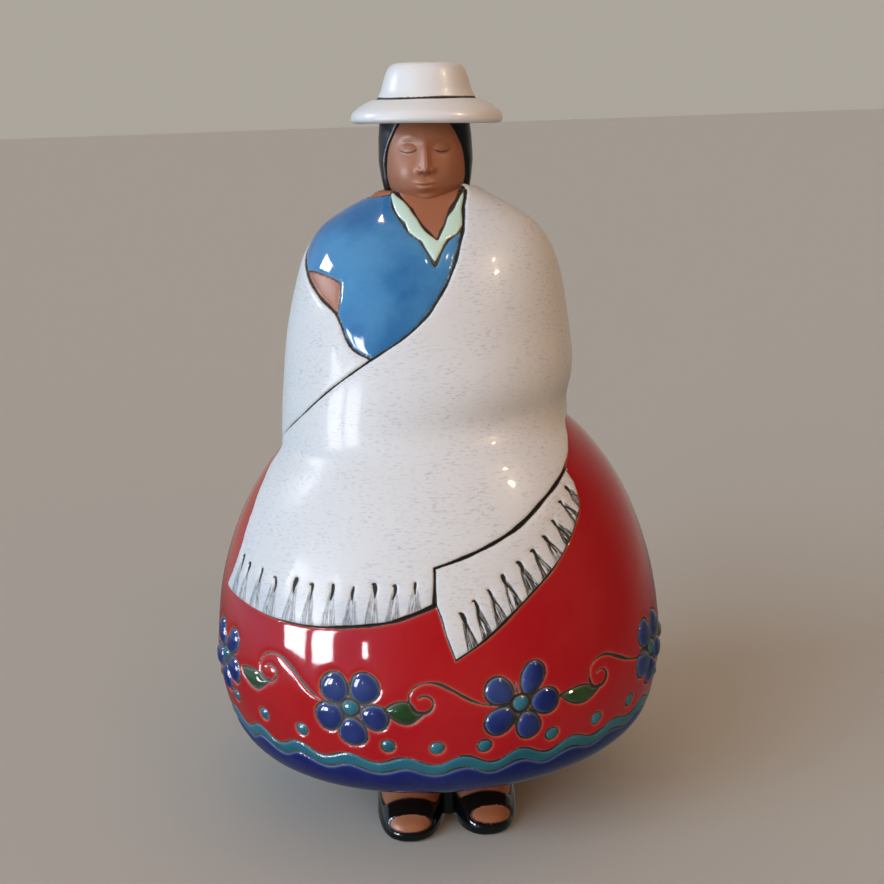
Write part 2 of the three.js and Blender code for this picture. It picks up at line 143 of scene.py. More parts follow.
def mix(a, b, factor):
    return a + (b - a) * factor


def smooth_rows(rows, place):
    """Catmull-Rom: half of 2p1 + (p2-p0)f + (2p0-5p1+4p2-p3)f^2 + (3p1-p0-3p2+p3)f^3."""
    last = len(rows) - 1
    row = np.clip(np.floor(place).astype(int), 0, last - 1)
    f = np.clip(place - row, 0, 1)[..., None]
    p0, p1, p2, p3 = (rows[np.clip(row + k, 0, last)] for k in (-1, 0, 1, 2))
    return 0.5 * (2 * p1 + (p2 - p0) * f + (2 * p0 - 5 * p1 + 4 * p2 - p3) * f ** 2
                  + (3 * p1 - p0 - 3 * p2 + p3) * f ** 3)


ROW_STEPS = np.linspace(0, LAST_ROW, 4401)
ROW_HEIGHTS = np.maximum.accumulate(smooth_rows(SECTIONS, ROW_STEPS)[:, 0])


def row_at(height):
    """The section row at a height, read backwards from a fine table of heights."""
    return np.interp(height, ROW_HEIGHTS, ROW_STEPS)


# %% The body before carving
def swelling(angle, height):
    """Bust, right shoulder, folded arms and the hollow below them, as bells of angle and height."""
    return (2.2 * bump(angle + 22, 24) * bump(height - 213, 13)
            + 1.1 * bump(angle + 75, 45) * bump(height - 241.5, 5.5)
            + 1.8 * bump(angle - 30, 48) * bump(height - 184, 11)
            - 2.6 * bump(angle - 42, 46) * bump(height - 166, 7))


def body_profile(angle, place):
    """Distance from the axis, 1 / hypot(sin/half, cos/depth), and height, at an angle and row.
    Rows below 0 and above the last close the surface towards the axis."""
    inside = np.clip(place, 0, LAST_ROW)
    height, half, front, behind = np.moveaxis(smooth_rows(SECTIONS, inside), -1, 0)
    s, c = np.sin(np.radians(angle)), np.cos(np.radians(angle))
    depth = np.where(c > 0, front, behind)
    closing = np.clip(1 + place, 0, 1) * np.clip(LAST_ROW + 1 - place, 0, 1)
    radius = 1 / np.hypot(s / half, c / depth) + swelling(angle, height)
    return radius * closing, height


def body_point(angle, place, out=0):
    """The surface point, moved out along the slope of its own meridian by `out`."""
    radius, height = body_profile(angle, place)
    r0, z0 = body_profile(angle, place - 0.01)
    r1, z1 = body_profile(angle, place + 0.01)
    length = np.hypot(r1 - r0, z1 - z0) + 1e-12
    r = radius + out * (z1 - z0) / length
    z = height - out * (r1 - r0) / length
    return np.stack([r * np.sin(np.radians(angle)), -r * np.cos(np.radians(angle)), z], -1)


print("widest radius, mm:", round(float(body_profile(90.0, np.linspace(0, LAST_ROW, 500))[0].max()), 1))

# %% [markdown]
# ## Refining only where it is needed
#
# An even grid fine enough for a line 1 mm wide would need millions of faces. Subdivision
# Surface refines everything alike. Newest-vertex bisection cuts only the triangles that are too
# big for what they show, together with the neighbours that must be cut to keep the mesh closed.
# Every triangle is (peak, base, base), and is always cut from its peak to the middle of its base.

# %% Grids and bisection
def closed_grid(columns, rows):
    """Triangles over a round grid with a pole at each end, as unit-circle places and rows."""
    turn = np.linspace(0, 2 * np.pi, columns, endpoint=False)
    around, row = np.meshgrid(turn, rows[1:-1])
    places = np.stack([np.sin(around).ravel(), np.cos(around).ravel(), row.ravel()], -1)
    places = np.vstack([places, [0, 0, rows[0]], [0, 0, rows[-1]]])
    i = np.arange(columns)
    j = (i + 1) % columns
    start = columns * np.arange(len(rows) - 3)[:, None]
    a, b = (start + i).ravel(), (start + j).ravel()
    c, d = b + columns, a + columns
    top, south, north = columns * (len(rows) - 3), len(places) - 2, len(places) - 1
    triangles = np.vstack([
        np.stack([b, c, a], -1), np.stack([d, a, c], -1),
        np.stack([np.full(columns, south), j, i], -1),
        np.stack([np.full(columns, north), top + i, top + j], -1),
    ])
    return places, triangles


def bisect(places, triangles, marked):
    """Cuts the marked triangles and whatever must follow; new places are edge middles."""
    sides = np.stack([triangles[:, [1, 2]], triangles[:, [2, 0]], triangles[:, [0, 1]]], 1)
    ends = np.sort(sides.reshape(-1, 2), 1)
    keys, side_edge = np.unique(ends[:, 0] * len(places) + ends[:, 1], return_inverse=True)
    edges = np.stack([keys // len(places), keys % len(places)], -1)
    side_edge = side_edge.reshape(-1, 3)
    cut = np.zeros(len(edges), bool)
    cut[side_edge[marked, 0]] = True
    while True:
        follow = (cut[side_edge[:, 1]] | cut[side_edge[:, 2]]) & ~cut[side_edge[:, 0]]
        if not follow.any():
            break
        cut[side_edge[follow, 0]] = True
    middle = np.full(len(edges) + 1, -1)
    middle[:-1][cut] = len(places) + np.arange(cut.sum())
    new = places[edges[cut]].mean(1)
    length = np.hypot(new[:, 0], new[:, 1])
    new[:, :2] /= np.where(length > 0, length, 1)[:, None]
    places = np.vstack([places, new])
    for _ in range(2):
        hit = np.flatnonzero(middle[side_edge[:, 0]] >= 0)
        peak, first, second = triangles[hit].T
        centre = middle[side_edge[hit, 0]]
        uncut = np.full(len(hit), len(edges))
        triangles = np.vstack([triangles, np.stack([centre, second, peak], -1)])
        side_edge = np.vstack([side_edge, np.stack([side_edge[hit, 1], uncut, uncut], -1)])
        triangles[hit] = np.stack([centre, peak, first], -1)
        side_edge[hit] = np.stack([side_edge[hit, 2], uncut, uncut], -1)
    return places, triangles


def refined(places, triangles, surface, wanted_size, passes):
    """Bisects until each base edge is shorter than the size wanted at its corners."""
    points = surface(places)
    size = wanted_size(places, points)
    for _ in range(passes):
        edge = np.linalg.norm(points[triangles[:, 1]] - points[triangles[:, 2]], axis=1)
        marked = np.flatnonzero(edge > 1.5 * size[triangles].min(1))
        if not len(marked):
            break
        known = len(places)
        places, triangles = bisect(places, triangles, marked)
        fresh = surface(places[known:])
        points = np.vstack([points, fresh])
        size = np.append(size, wanted_size(places[known:], fresh))
    return places, triangles, points


def angle_of(places):
    return np.degrees(np.arctan2(places[:, 0], places[:, 1]))


# %% [markdown]
# ## Lines cut in the clay
#
# On the real figure every field of glaze ends at a line scratched into the clay, left dry and
# dark. Lines could be painted with a texture, but then their edges would not catch the light.
# Here each line is a smooth curve on the body with a width that wanders like a hand-held
# tool's, and every point of the surface knows how far it is from the nearest one.

# %% Curves on the body
def smooth_curve(points, step=1.0):
    """A Catmull-Rom curve through the rows of `points`, with a place about every `step`."""
    points = np.array(points, float)
    lengths = np.hypot(*np.diff(points[:, :2], axis=0).T)
    counts = np.maximum(np.ceil(lengths / step).astype(int), 1)
    place = np.concatenate([i + np.arange(n) / n for i, n in enumerate(counts)] + [[len(points) - 1]])
    return smooth_rows(points, place)


def straight_curve(points, step=1.0):
    """The same, but straight from point to point, for outlines with corners."""
    points = np.array(points, float)
    lengths = np.hypot(*np.diff(points[:, :2], axis=0).T)
    counts = np.maximum(np.ceil(lengths / step).astype(int), 1)
    place = np.concatenate([i + np.arange(n) / n for i, n in enumerate(counts)] + [[len(points) - 1]])
    return np.stack([np.interp(place, np.arange(len(points)), column) for column in points.T], -1)


def on_body(curve):
    return body_point(curve[:, 0], row_at(curve[:, 1]))


lines = []


def carve(curve, half_width, waver=0.15):
    """Adds a line along (angle, height) rows. Its half width may change, and wanders by +-waver."""
    points = on_body(curve)
    along = np.concatenate([[0], np.cumsum(np.linalg.norm(np.diff(points, axis=0), axis=1))])
    half = np.interp(along / max(along[-1], 1e-9), np.linspace(0, 1, np.size(half_width)),
                     np.atleast_1d(half_width))
    seed = len(lines) * 1.7
    half = half * (1 + waver * (np.sin(along / 1.9 + seed) + np.sin(along / 4.3 + 2.1 * seed)) / 1.4)
    lines.append((points, half))


def distance_to(points, line):
    """The least of (distance to a piece of the line) - (its half width there), from each point."""
    curve, half = line
    best = np.full(len(points), 9.0)
    for k in range(len(curve) - 1):
        side = curve[k + 1] - curve[k]
        away = points - curve[k]
        f = np.clip(away @ side / (side @ side + 1e-12), 0, 1)
        gap = np.linalg.norm(away - f[:, None] * side, axis=1) - mix(half[k], half[k + 1], f)
        np.minimum(best, gap, out=best)
    return best


REACH = 6.0
CHUNK = 24


def distance_to_lines(points, chosen):
    """How far each point is outside the nearest line, up to REACH; negative inside it."""
    best = np.full(len(points), REACH)
    for curve, half in chosen:
        for start in range(0, len(curve) - 1, CHUNK):
            piece = (curve[start:start + CHUNK + 1], half[start:start + CHUNK + 1])
            low_corner, high_corner = piece[0].min(0) - REACH, piece[0].max(0) + REACH
            near = np.flatnonzero(((points > low_corner) & (points < high_corner)).all(1))
            if len(near):
                best[near] = np.minimum(best[near], distance_to(points[near], piece))
    return best


# %% [markdown]
# ## The shawl, the blouse and the collar
#
# The white shawl hangs over both arms. Its near end is folded across the front, its far end
# comes out below the fold, and the blouse with its small collar shows where it opens. All edges
# are given as (angle, height) places that a modeller would mark on the clay.

# %% Edges of the clothes
FOLD_EDGE = smooth_curve([
    [-77.5, 161.5], [-58, 171], [-40, 182.5], [-23.5, 192.7], [-10, 200.6], [-1.2, 207.3], [3.8, 212.6],
    [8.5, 217.8], [15.8, 226.5], [21.2, 232.2], [27.2, 236.6], [33.5, 240.8], [42.5, 245.3], [60, 250.6],
])
ARM_EDGE = smooth_curve([
    [-172, 258], [-150, 249], [-110, 238], [-82, 227], [-70.5, 220.8], [-56.8, 214.2], [-48.8, 211],
    [-43.5, 208.4], [-40.5, 205.6], [-38.2, 202.2], [-35.8, 199], [-31.5, 195.6], [-23.5, 192.7],
])
PANEL_HEM = smooth_curve([
    [-68.9, 102.4], [-65.6, 101.3], [-60, 100.4], [-47, 98.4], [-38.8, 98], [-29.8, 98.4],
    [-14.2, 101.2], [-6.7, 104.2], [-0.5, 107.6],
])
FOLD_HEM = smooth_curve([
    [0, 120.5], [11.5, 124.7], [24, 130.3], [35.8, 137.2], [49.3, 144], [62.7, 151.8],
    [75, WAIST], [90, WAIST + 0.6],
])
BACK_HEM = smooth_curve([[90, WAIST + 0.6], [120, WAIST - 0.8], [180, WAIST + 1], [240, WAIST - 0.6], [283, WAIST + 0.4]])
PANEL_SIDE = smooth_curve([
    [-77.5, 161.5], [-75.6, 153], [-71.6, 146.5], [-69.6, 140.5], [-67.8, 135], [-67.2, 129],
    [-66.6, 122.5], [-66.8, 117], [-67.7, 110], [-69.3, 104.4], [-68.9, 102.4],
])
END_SIDE = smooth_curve([[0, 107.6], [1.2, 102.8], [2.2, 96.8], [4.3, 87.8]])
END_HEM = smooth_curve([
    [4.3, 87.8], [12.2, 94.7], [23.8, 106.7], [34.7, 116.8], [45.2, 128.2], [49, 132.8],
    [51.2, 139.5],
])
END_TIP = straight_curve([[51.2, 139.5], [50.6, 144.8]])
STEP = straight_curve([[-0.5, 107.6], [0, 120.5]])
COLLAR_OUTER = straight_curve([
    [-55, 250.5], [-48, 248.5], [-34.2, 244.2], [-20.5, 240.2], [-14.8, 237.2], [-4.5, 233.8],
    [0.2, 229.8], [4, 225.5], [7.8, 229.2], [11.2, 232], [14.8, 234], [22.5, 235.8], [29, 238.2],
])
COLLAR_INNER = straight_curve([
    [-60, 252], [-49.5, 251.1], [-29.2, 247.8], [-18.7, 245.5], [-8.5, 241.7], [-2.5, 238.8], [7.2, 234.3],
    [12, 237.7], [20.5, 242], [34.2, 246.2], [47, 249], [60, 251.5],
])
BLOUSE_TOP = smooth_curve([[-150, 249.6], [-100, 249.3], [-80, 249.5], [-66, 250.2], [-55, 250.9]])
SLEEVE_EDGE = smooth_curve([
    [-74.5, 222.8], [-67, 223], [-58.5, 222.2], [-50.8, 220.8], [-46.8, 219.4], [-44.6, 215.5],
    [-43, 209],
])

carve(FOLD_EDGE, [0.5, 0.55, 0.65, 0.5])
carve(ARM_EDGE, [0.4, 0.45, 0.5, 0.5])
carve(PANEL_SIDE, 0.35)
carve(PANEL_HEM, [0.4, 0.5, 0.75, 0.9])
carve(STEP, [0.75, 0.45])
carve(FOLD_HEM, [0.5, 0.8, 0.85, 0.6, 0.38])
carve(BACK_HEM, 0.45)
carve(END_SIDE, [0.3, 0.35])
carve(END_HEM, [0.45, 0.75, 0.6, 0.5, 0.4])
carve(END_TIP, 0.4)
carve(COLLAR_OUTER, 0.5, waver=0.3)
carve(COLLAR_INNER, 0.7, waver=0.35)
carve(BLOUSE_TOP, 0.6, waver=0.3)
carve(SLEEVE_EDGE, [0.3, 0.45, 0.45, 0.4])
edge_lines = len(lines)
print("edge lines:", edge_lines)


# %% Which field of glaze a place lies in
def height_of(curve, angle):
    """The height of an edge at an angle; the edge runs one way round the body."""
    order = np.argsort(curve[:, 0], kind="stable")
    return np.interp(angle, curve[order, 0], curve[order, 1])


def between(angle, start, end):
    return (angle >= start) & (angle <= end)


def wrap(angle):
    return (angle + 180) % 360 - 180


def cloth_masks(angle, height):
    """True where a place is under the folded front, the shawl, the far end, the collar, the
    bare neck or the bare forearm."""
    turn = wrap(angle)
    front = (turn > np.interp(height, PANEL_SIDE[::-1, 1], PANEL_SIDE[::-1, 0])) & (turn < 60)
    low_edge = np.where(turn < -0.25, height_of(PANEL_HEM, turn), height_of(FOLD_HEM, turn))
    fold = front & (height > low_edge) & (height < height_of(FOLD_EDGE, turn))
    side = (turn >= 60) & (height > np.where(turn < 90, height_of(FOLD_HEM, turn), WAIST))
    back_low = height_of(BACK_HEM, np.where(turn < -77, turn + 360, turn))
    side &= (turn < 90) | (height > back_low)
    arm = (turn < -23.5) & (height < height_of(ARM_EDGE, turn)) & (height > 160)
    arm |= (turn < -77) & (height < height_of(ARM_EDGE, turn)) & (height > back_low)
    end = between(turn, 0, 51.2) & (height > height_of(np.vstack([END_SIDE, END_HEM]), turn)) & (height < 150)
    collar = between(turn, -55, 60) & (height > height_of(COLLAR_OUTER, turn)) & ~fold
    neck = between(turn, -60, 60) & (height > height_of(COLLAR_INNER, turn)) & ~fold
    neck |= between(turn, -150, -55) & (height > height_of(BLOUSE_TOP, turn)) & ~fold
    forearm = between(turn, -74.5, -42.8) & (height > height_of(ARM_EDGE, turn))
    forearm &= height < height_of(SLEEVE_EDGE, turn)
    return fold, side | arm, end, collar & ~neck, neck, forearm


# %% [markdown]
# ## The flower border
#
# Eight flowers go round the hem, each with a leaf and a tendril that curls over the leaf's tip
# and runs on to the next flower. They are drawn flat, in millimetres across and up, and then laid on
# the skirt through its girth and its slope, as a paper pattern is held against the clay. Two
# flowers, given petal by petal, take turns, and small turns of each keep them from looking stamped.

# %% A flat chart of the skirt
CHART_ANGLE = 45.0
chart_radius, chart_height = body_profile(np.full_like(ROW_STEPS, CHART_ANGLE), ROW_STEPS)
chart_climb = np.concatenate([[0], np.cumsum(np.hypot(np.diff(chart_radius), np.diff(chart_height)))])


def laid_on_skirt(flat, angle, height):
    """(across, up) in mm from a place on the skirt, as (angle, height) rows."""
    climb = np.interp(height, chart_height, chart_climb) + flat[:, 1]
    place = np.interp(climb, chart_climb, ROW_STEPS)
    up = np.interp(place, ROW_STEPS, chart_height)
    across = np.degrees(flat[:, 0] / np.interp(place, ROW_STEPS, chart_radius))
    return np.stack([angle + across, up], -1)


def flat_from(angle, height, centre_angle, centre_height):
    """The (across, up) mm of places seen from a place on the skirt."""
    radius = np.interp(height, chart_height, chart_radius)
    climb = np.interp(height, chart_height, chart_climb)
    across = np.radians(wrap(angle - centre_angle)) * radius
    return np.stack([across, climb - np.interp(centre_height, chart_height, chart_climb)], -1)


def inside(points, outline):
    """True for points in a closed flat outline: an odd number of its sides lie to their right."""
    odd = np.zeros(len(points), bool)
    x, y = points.T
    for (x0, y0), (x1, y1) in zip(outline, np.roll(outline, -1, 0)):
        crosses = (y0 > y) != (y1 > y)
        odd ^= crosses & (x < (x1 - x0) * (y - y0) / (y1 - y0 + 1e-12) + x0)
    return odd


# %% Flowers, leaves, dots and tendrils
# angle and height of the middle, turn, which of the two flowers, reach and sag of its leaf, and how
# far the dots after it have slid round
FLOWERS = [
    (-70, 74.6, -17, 1, 7, -2.4, -2.9), (-22.5, 69.3, 0, 0, 0, -1, 1.4), (20, 69.4, 0, 1, 7.5, -1.8, 0),
    (68.8, 71.8, -3, 0, 2, -1, 0), (113, 73, -25, 1, 1, 0, 1), (159, 70.2, 9, 0, 4, -1, 0),
    (203, 69.8, 28, 1, 2, 0, -1), (246, 73.2, -8, 0, 1, -1, 0),
]
# turn, distance from the middle, half length, half width of each petal
PETALS = [
    [(132, 9.6, 5.9, 5.8), (54, 9.7, 6.0, 5.9), (-155, 9.8, 6.0, 5.7), (-88, 9.6, 5.8, 5.8),
     (-18, 10, 5.6, 5.0)],
    [(146, 9.7, 6.0, 5.2), (60, 10.4, 6.6, 4.6), (-4, 10.1, 5.8, 5.1), (-144, 10, 6.3, 5.2),
     (-71, 9.7, 5.7, 4.9)],
]
MIDDLE_RADIUS = 3.6
DOT_RADIUS = 2.65
DOT_PLACES = [0.18, 0.47, 0.75]
DOT_HEIGHT = 56.6
DOT_SWAY = 2.4
DOT_TILT = 1.9
LEAF_OUTLINE = [
    [11.5, 0.8], [14, 2.9], [17.4, 4.5], [20.6, 4.8], [22.8, 3.8], [24.3, 1.9], [25.9, 0.1], [28.6, -0.6],
    [26, -2.4], [21.8, -3.9], [17.4, -3.2], [13.6, -1.3], [11.5, 0.8],
]
# one groove from inside the curl, round it and over its back to the next flower
VINE = [
    [26.8, 5.3], [28.3, 6.1], [30.4, 5.8], [31.9, 4.5], [32.2, 2.8], [31.3, 0.9], [29.6, -0.3],
    [27.4, -0.5], [25.2, 0.3], [23.7, 2.1], [23.0, 4.5], [23.2, 6.7], [24.2, 8.4], [26, 9.9],
    [28.6, 10.8], [31.4, 11], [34.4, 10.4], [37.2, 9.1], [40.4, 7.2], [43.5, 5], [46.6, 3.1],
    [50, 1.5], [54, 0.6], [59, 0.8],
]
VINE_WIDTHS = [0.4, 0.62, 0.7, 0.64, 0.46, 0.3, 0.46, 0.64, 0.72, 0.64, 0.55, 0.5, 0.47, 0.45]


def swayed(height, sway, angle):
    """A level that dips in front and behind: height - sway cos(2 angle)."""
    return height - sway * np.cos(np.radians(2 * angle))


def petal_outline(turn, distance, half_length, half_width):
    """An egg, (d + l cos t, w sin t (1 + cos(t) / 7)), turned about the flower's middle."""
    t = np.linspace(0, 2 * np.pi, 30, endpoint=False)
    x = distance + half_length * np.cos(t)
    y = half_width * np.sin(t) * (1 + np.cos(t) / 7)
    c, s = np.cos(np.radians(turn)), np.sin(np.radians(turn))
    return np.stack([x * c - y * s, x * s + y * c], -1)


def round_outline(radius, centre=(0, 0)):
    t = np.linspace(0, 2 * np.pi, 20, endpoint=False)
    wobble = 1 + 0.05 * np.sin(2 * t + 1) + 0.03 * np.sin(3 * t)
    return np.stack([centre[0] + radius * wobble * np.cos(t), centre[1] + radius * wobble * np.sin(t)], -1)


def leaf_outline(reach, sag):
    """The leaf's outline, drawn out and thinned by its reach, and hanging by its sag."""
    leaf = np.array(LEAF_OUTLINE)
    share = (leaf[:, 0] - leaf[0, 0]) / (leaf[:, 0].max() - leaf[0, 0])
    axis = mix(0.8, -0.6, share)
    leaf[:, 1] = axis + (leaf[:, 1] - axis) * (1 - 0.025 * reach)
    leaf[:, 1] += sag * np.sin(np.pi * np.clip(share, 0, 1)) + 0.5 * sag * (1 - share)
    leaf[:, 0] += mix(2.2 + 0.43 * reach, reach, share)
    return smooth_curve(leaf)[:-1]


TURQUOISE, PETAL, LEAF = "turquoise", "petal", "leaf"
islands = []


def add_island(outline, angle, height, colour, rise, half_width=0.5):
    """A small closed field with a carved outline, and how high its glaze stands."""
    closed = np.vstack([outline, outline[:1]])
    first = len(lines)
    carve(laid_on_skirt(closed, angle, height), half_width, waver=0.15)
    islands.append((angle, height, outline, colour, rise, lines[first]))


for i, (angle, height, turn, kind, reach, sag, slide) in enumerate(FLOWERS):
    next_angle = FLOWERS[(i + 1) % 8][0] + (360 if i == 7 else 0)
    next_height = FLOWERS[(i + 1) % 8][1]
    for petal_turn, distance, half_length, half_width in PETALS[kind]:
        outline = petal_outline(petal_turn + turn, distance, half_length, half_width)
        add_island(outline, angle, height, PETAL, PETAL_RELIEF)
    middles = np.radians([petal[0] + turn for petal in PETALS[kind]])
    for here, following in zip(np.sort(middles), np.roll(np.sort(middles), -1)):
        between_petals = here + ((following - here) % (2 * np.pi)) / 2
        spoke = np.outer([MIDDLE_RADIUS + 1.2, 8.4], [np.cos(between_petals), np.sin(between_petals)])
        carve(laid_on_skirt(straight_curve(spoke), angle, height), [0.6, 0.4])
    add_island(round_outline(MIDDLE_RADIUS), angle, height, TURQUOISE, 0.7, half_width=0.75)
    add_island(leaf_outline(reach, sag), angle, height, LEAF, 0.8, half_width=0.55)
    for dot in DOT_PLACES:
        dot_angle = mix(angle, next_angle, dot) + slide
        dot_height = swayed(DOT_HEIGHT, DOT_SWAY, dot_angle) - DOT_TILT * math.sin(math.radians(dot_angle))
        add_island(round_outline(DOT_RADIUS), dot_angle, dot_height, TURQUOISE, 0.6, half_width=0.4)
    vine = smooth_curve(VINE, 0.7)
    late = ramp(vine[:, 0], 36, 59)
    gap = np.radians(next_angle - angle) * np.interp(height, chart_height, chart_radius)
    vine[:, 0] += mix(reach, gap - 5 - VINE[-1][0], late)
    vine[:, 1] += mix(0.3 * sag, next_height - height, late)
    carve(laid_on_skirt(vine, angle, height), VINE_WIDTHS, waver=0.2)
print("islands of glaze:", len(islands), "lines so far:", len(lines))

# %% The wavy band
WAVES = 24
WAVE_PHASE = 5.5
BAND_TOP = 49.6
BAND_WIDTH = 4.9
WAVE_HEIGHT = 1.7
LOW_WAVE_HEIGHT = 1.5
BAND_SWAY = 1.1


def wave_line(angle, middle, wave_height):
    """middle - sway cos(2 angle) + wave_height cos(24 (angle - phase)), with an uneven hand."""
    wave = wave_height * (1 + 0.2 * np.sin(np.radians(5 * angle)))
    return swayed(middle, BAND_SWAY, angle) + wave * np.cos(np.radians(WAVES * (angle - WAVE_PHASE)))


round_angles = np.arange(0, 360.1, 0.75)
for middle, wave_height in ((BAND_TOP, WAVE_HEIGHT), (BAND_TOP - BAND_WIDTH, LOW_WAVE_HEIGHT)):
    carve(np.stack([round_angles, wave_line(round_angles, middle, wave_height)], -1), 0.46, waver=0.3)

# %% [markdown]
# ## The fringe
#
# The fringe is drawn with a point in the wet clay: a short thick stroke for each knot, and three
# to six thin strokes that fan out from it to the hem. No two are alike, so the strokes come from
# a random generator with a fixed seed, and only the knots' places are marked.

# %% Tassels
hand = np.random.default_rng(7)
MAIN_KNOTS = [
    (-62.8, 117.5), (-58.5, 115.3), (-52.3, 115.2), (-46.5, 113.4), (-39, 114.5), (-33.7, 113.5),
    (-27.5, 114.2), (-21.6, 114.1), (-16, 115.2), (-10.5, 115), (-5.2, 115.8),
]
END_KNOTS = [
    (6.2, 104.4), (9.8, 108.6), (13.8, 111.6), (18, 116), (23, 119.6), (27.8, 122.6), (32.3, 126.1),
    (36.8, 130.3), (42, 135.4), (46.6, 139),
]


def tassel(top, foot, sides):
    """A knot stroke from the top, and a thin stroke to the hem on each of the given sides."""
    knot_end = top + hand.uniform(0.3, 0.42) * (foot - top) + [hand.uniform(-0.5, 0.5), 0]
    hook = top + [-hand.uniform(0.2, 0.9), hand.uniform(-0.9, 0.2)]
    bend = mix(top, knot_end, 0.5) + [hand.uniform(-0.3, 0.4), 0]
    carve(smooth_curve([hook, top, bend, knot_end], 0.5), [0.35, 0.75, 0.7, 0.5, 0.3], waver=0.25)
    for aside in sides:
        start = mix(top, knot_end, hand.uniform(0.5, 1.0))
        end = foot + [aside * hand.uniform(0.6, 1.6), hand.uniform(0.8, 3)]
        middle = mix(start, end, 0.5) + [aside * hand.uniform(0.1, 0.4), 0]
        carve(smooth_curve([start, middle, end], 0.7), [0.4, 0.33, 0.2], waver=0.3)


first_stroke = len(lines)
main_tops, end_tops = np.array(MAIN_KNOTS), np.array(END_KNOTS)
main_feet, end_feet = main_tops.copy(), end_tops.copy()
main_feet[:, 0] -= 0.7
main_feet[:, 1] = height_of(PANEL_HEM, main_feet[:, 0])
end_feet[:, 0] = np.minimum(end_tops[:, 0] + mix(2.6, 3.3, (end_tops[:, 0] - 6) / 36), 48.8)
end_feet[:, 1] = height_of(END_HEM, end_feet[:, 0])
for top, foot in zip(main_tops, main_feet):
    tassel(top, foot, ())
for top, foot in zip(end_tops, end_feet):
    tassel(top, foot, (-1, 1))
print("strokes in the fringe:", len(lines) - first_stroke)

# %% [markdown]
# The finest strands are only ink, too thin for any mesh. They are drawn by the shader, from two
# numbers at each place: which tassel it belongs to, with a fraction, and how far up it lies, from
# 0 at the hem to 1 at the knot.

# %% Places in the fringe
END_FIRST = 20


def fringe_places(angle, height, tops, foots, first):
    """The tassel number whose line from foot to top passes through each place, and
    (height - foot height) / (top height - foot height) on it."""
    count = len(tops)
    number = np.linspace(-0.8, count - 0.2, 12 * count)
    def drawn_out(rows):
        ends = [2 * rows[0] - rows[1], *rows, 2 * rows[-1] - rows[-2]]
        return smooth_rows(np.array(ends), number + 1)
    top, foot = drawn_out(tops), drawn_out(foots)
    away = (top[:, 1] - foot[:, 1]) * (angle[:, None] - foot[:, 0]) \
        - (top[:, 0] - foot[:, 0]) * (height[:, None] - foot[:, 1])
    crossing = np.argmax((away[:, :-1] >= 0) & (away[:, 1:] < 0), 1)
    crossing = np.where(away[:, 0] < 0, 0, np.where(away[:, -1] >= 0, len(number) - 2, crossing))
    rows = np.arange(len(angle))
    before, after = away[rows, crossing], away[rows, crossing + 1]
    f = np.clip(before / (before - after + 1e-9), 0, 1)
    foot_height = mix(foot[crossing, 1], foot[crossing + 1, 1], f)
    top_height = mix(top[crossing, 1], top[crossing + 1, 1], f)
    place = np.clip(mix(number[crossing], number[crossing + 1], f), -0.5, count - 0.5)
    return first + place, (height - foot_height) / (top_height - foot_height)


def fringe_of(angle, height):
    """Tassel number and fall of every place: the main fringe left of 0 degrees, the end's right."""
    number, fall = np.zeros(len(angle)), np.full(len(angle), 3.0)
    for tops, foots, first, start, end in ((main_tops, main_feet, 0, -72, -0.4),
                                           (end_tops, end_feet, END_FIRST, 0.6, 53)):
        near = np.flatnonzero(between(angle, start, end) & between(height, 85, 145))
        number[near], fall[near] = fringe_places(angle[near], height[near], tops, foots, first)
    return number, np.clip(fall, -1, 3)


# %% [markdown]
# ## The dressed body
#
# The glaze lies on the clay like thick icing: it swells between the lines and rolls off into
# them. The cloth is a step higher than the skirt, and the folded front a step higher still. All
# of this is one displacement of the smooth bell, worked out at each place from the distance to
# the lines. A Displace modifier with a painted height map would do it more coarsely.

# %% Heights of the layers
def soft_step(distance, width=0.7):
    """0 well outside an edge, 1 well inside, and a smooth slope over +-width."""
    return ramp(distance, -width, width)


FIELDS = ["skirt", "shawl", "blouse", "collar", "skin", "turquoise", "cobalt", "petal", "leaf", "hat",
          "hair", "leather"]
FIELD = {name: i for i, name in enumerate(FIELDS)}


def layer_height(angle, height, edge):
    """The highest layer of cloth over a place, each with a soft edge at the edge lines."""
    fold, side, end, collar, neck, forearm = cloth_masks(angle, height)
    turn = wrap(angle)
    fade = np.clip((turn - 60) / 30, 0, 1)
    cloth = np.where(turn > 0, FOLD_RELIEF - fade * (FOLD_RELIEF - CLOTH_RELIEF), CLOTH_RELIEF)
    blouse = (height > 185) & ~(fold | side | collar | neck | forearm)
    rise = np.zeros_like(height)
    for mask, relief in ((fold, FOLD_RELIEF), (side, cloth), (end, CLOTH_RELIEF),
                         (collar, COLLAR_RELIEF), (blouse, BLOUSE_RELIEF)):
        rise = np.maximum(rise, relief * soft_step(np.where(mask, edge, -edge)))
    return rise


def island_rise(angle, height, points):
    """How high the small fields stand: rise (1 - (1 - d/3)^2) at d mm inside their lines."""
    rise = np.zeros_like(height)
    for centre_angle, centre_height, outline, colour, top, line in islands:
        reach = np.abs(outline).max() + 1
        near = np.flatnonzero((np.abs(height - centre_height) < reach)
                              & (np.abs(wrap(angle - centre_angle)) < 0.8 * reach))
        if not len(near):
            continue
        flat = flat_from(angle[near], height[near], centre_angle, centre_height)
        within = near[inside(flat, outline)]
        depth = np.clip(distance_to(points[within], line), 0, 3)
        rise[within] = top * (1 - (1 - depth / 3) ** 2)
    return rise


def glaze_relief(line):
    """Glaze swells with the distance from a line, PILLOW (1 - exp(-d / 1.1)), and the line is
    CARVE_DEPTH deep with soft flanks."""
    swell = PILLOW * (1 - np.exp(-np.maximum(line, 0) / 1.1))
    return swell - PILLOW - CARVE_DEPTH * (1 - ramp(line, -0.5, 0.4))


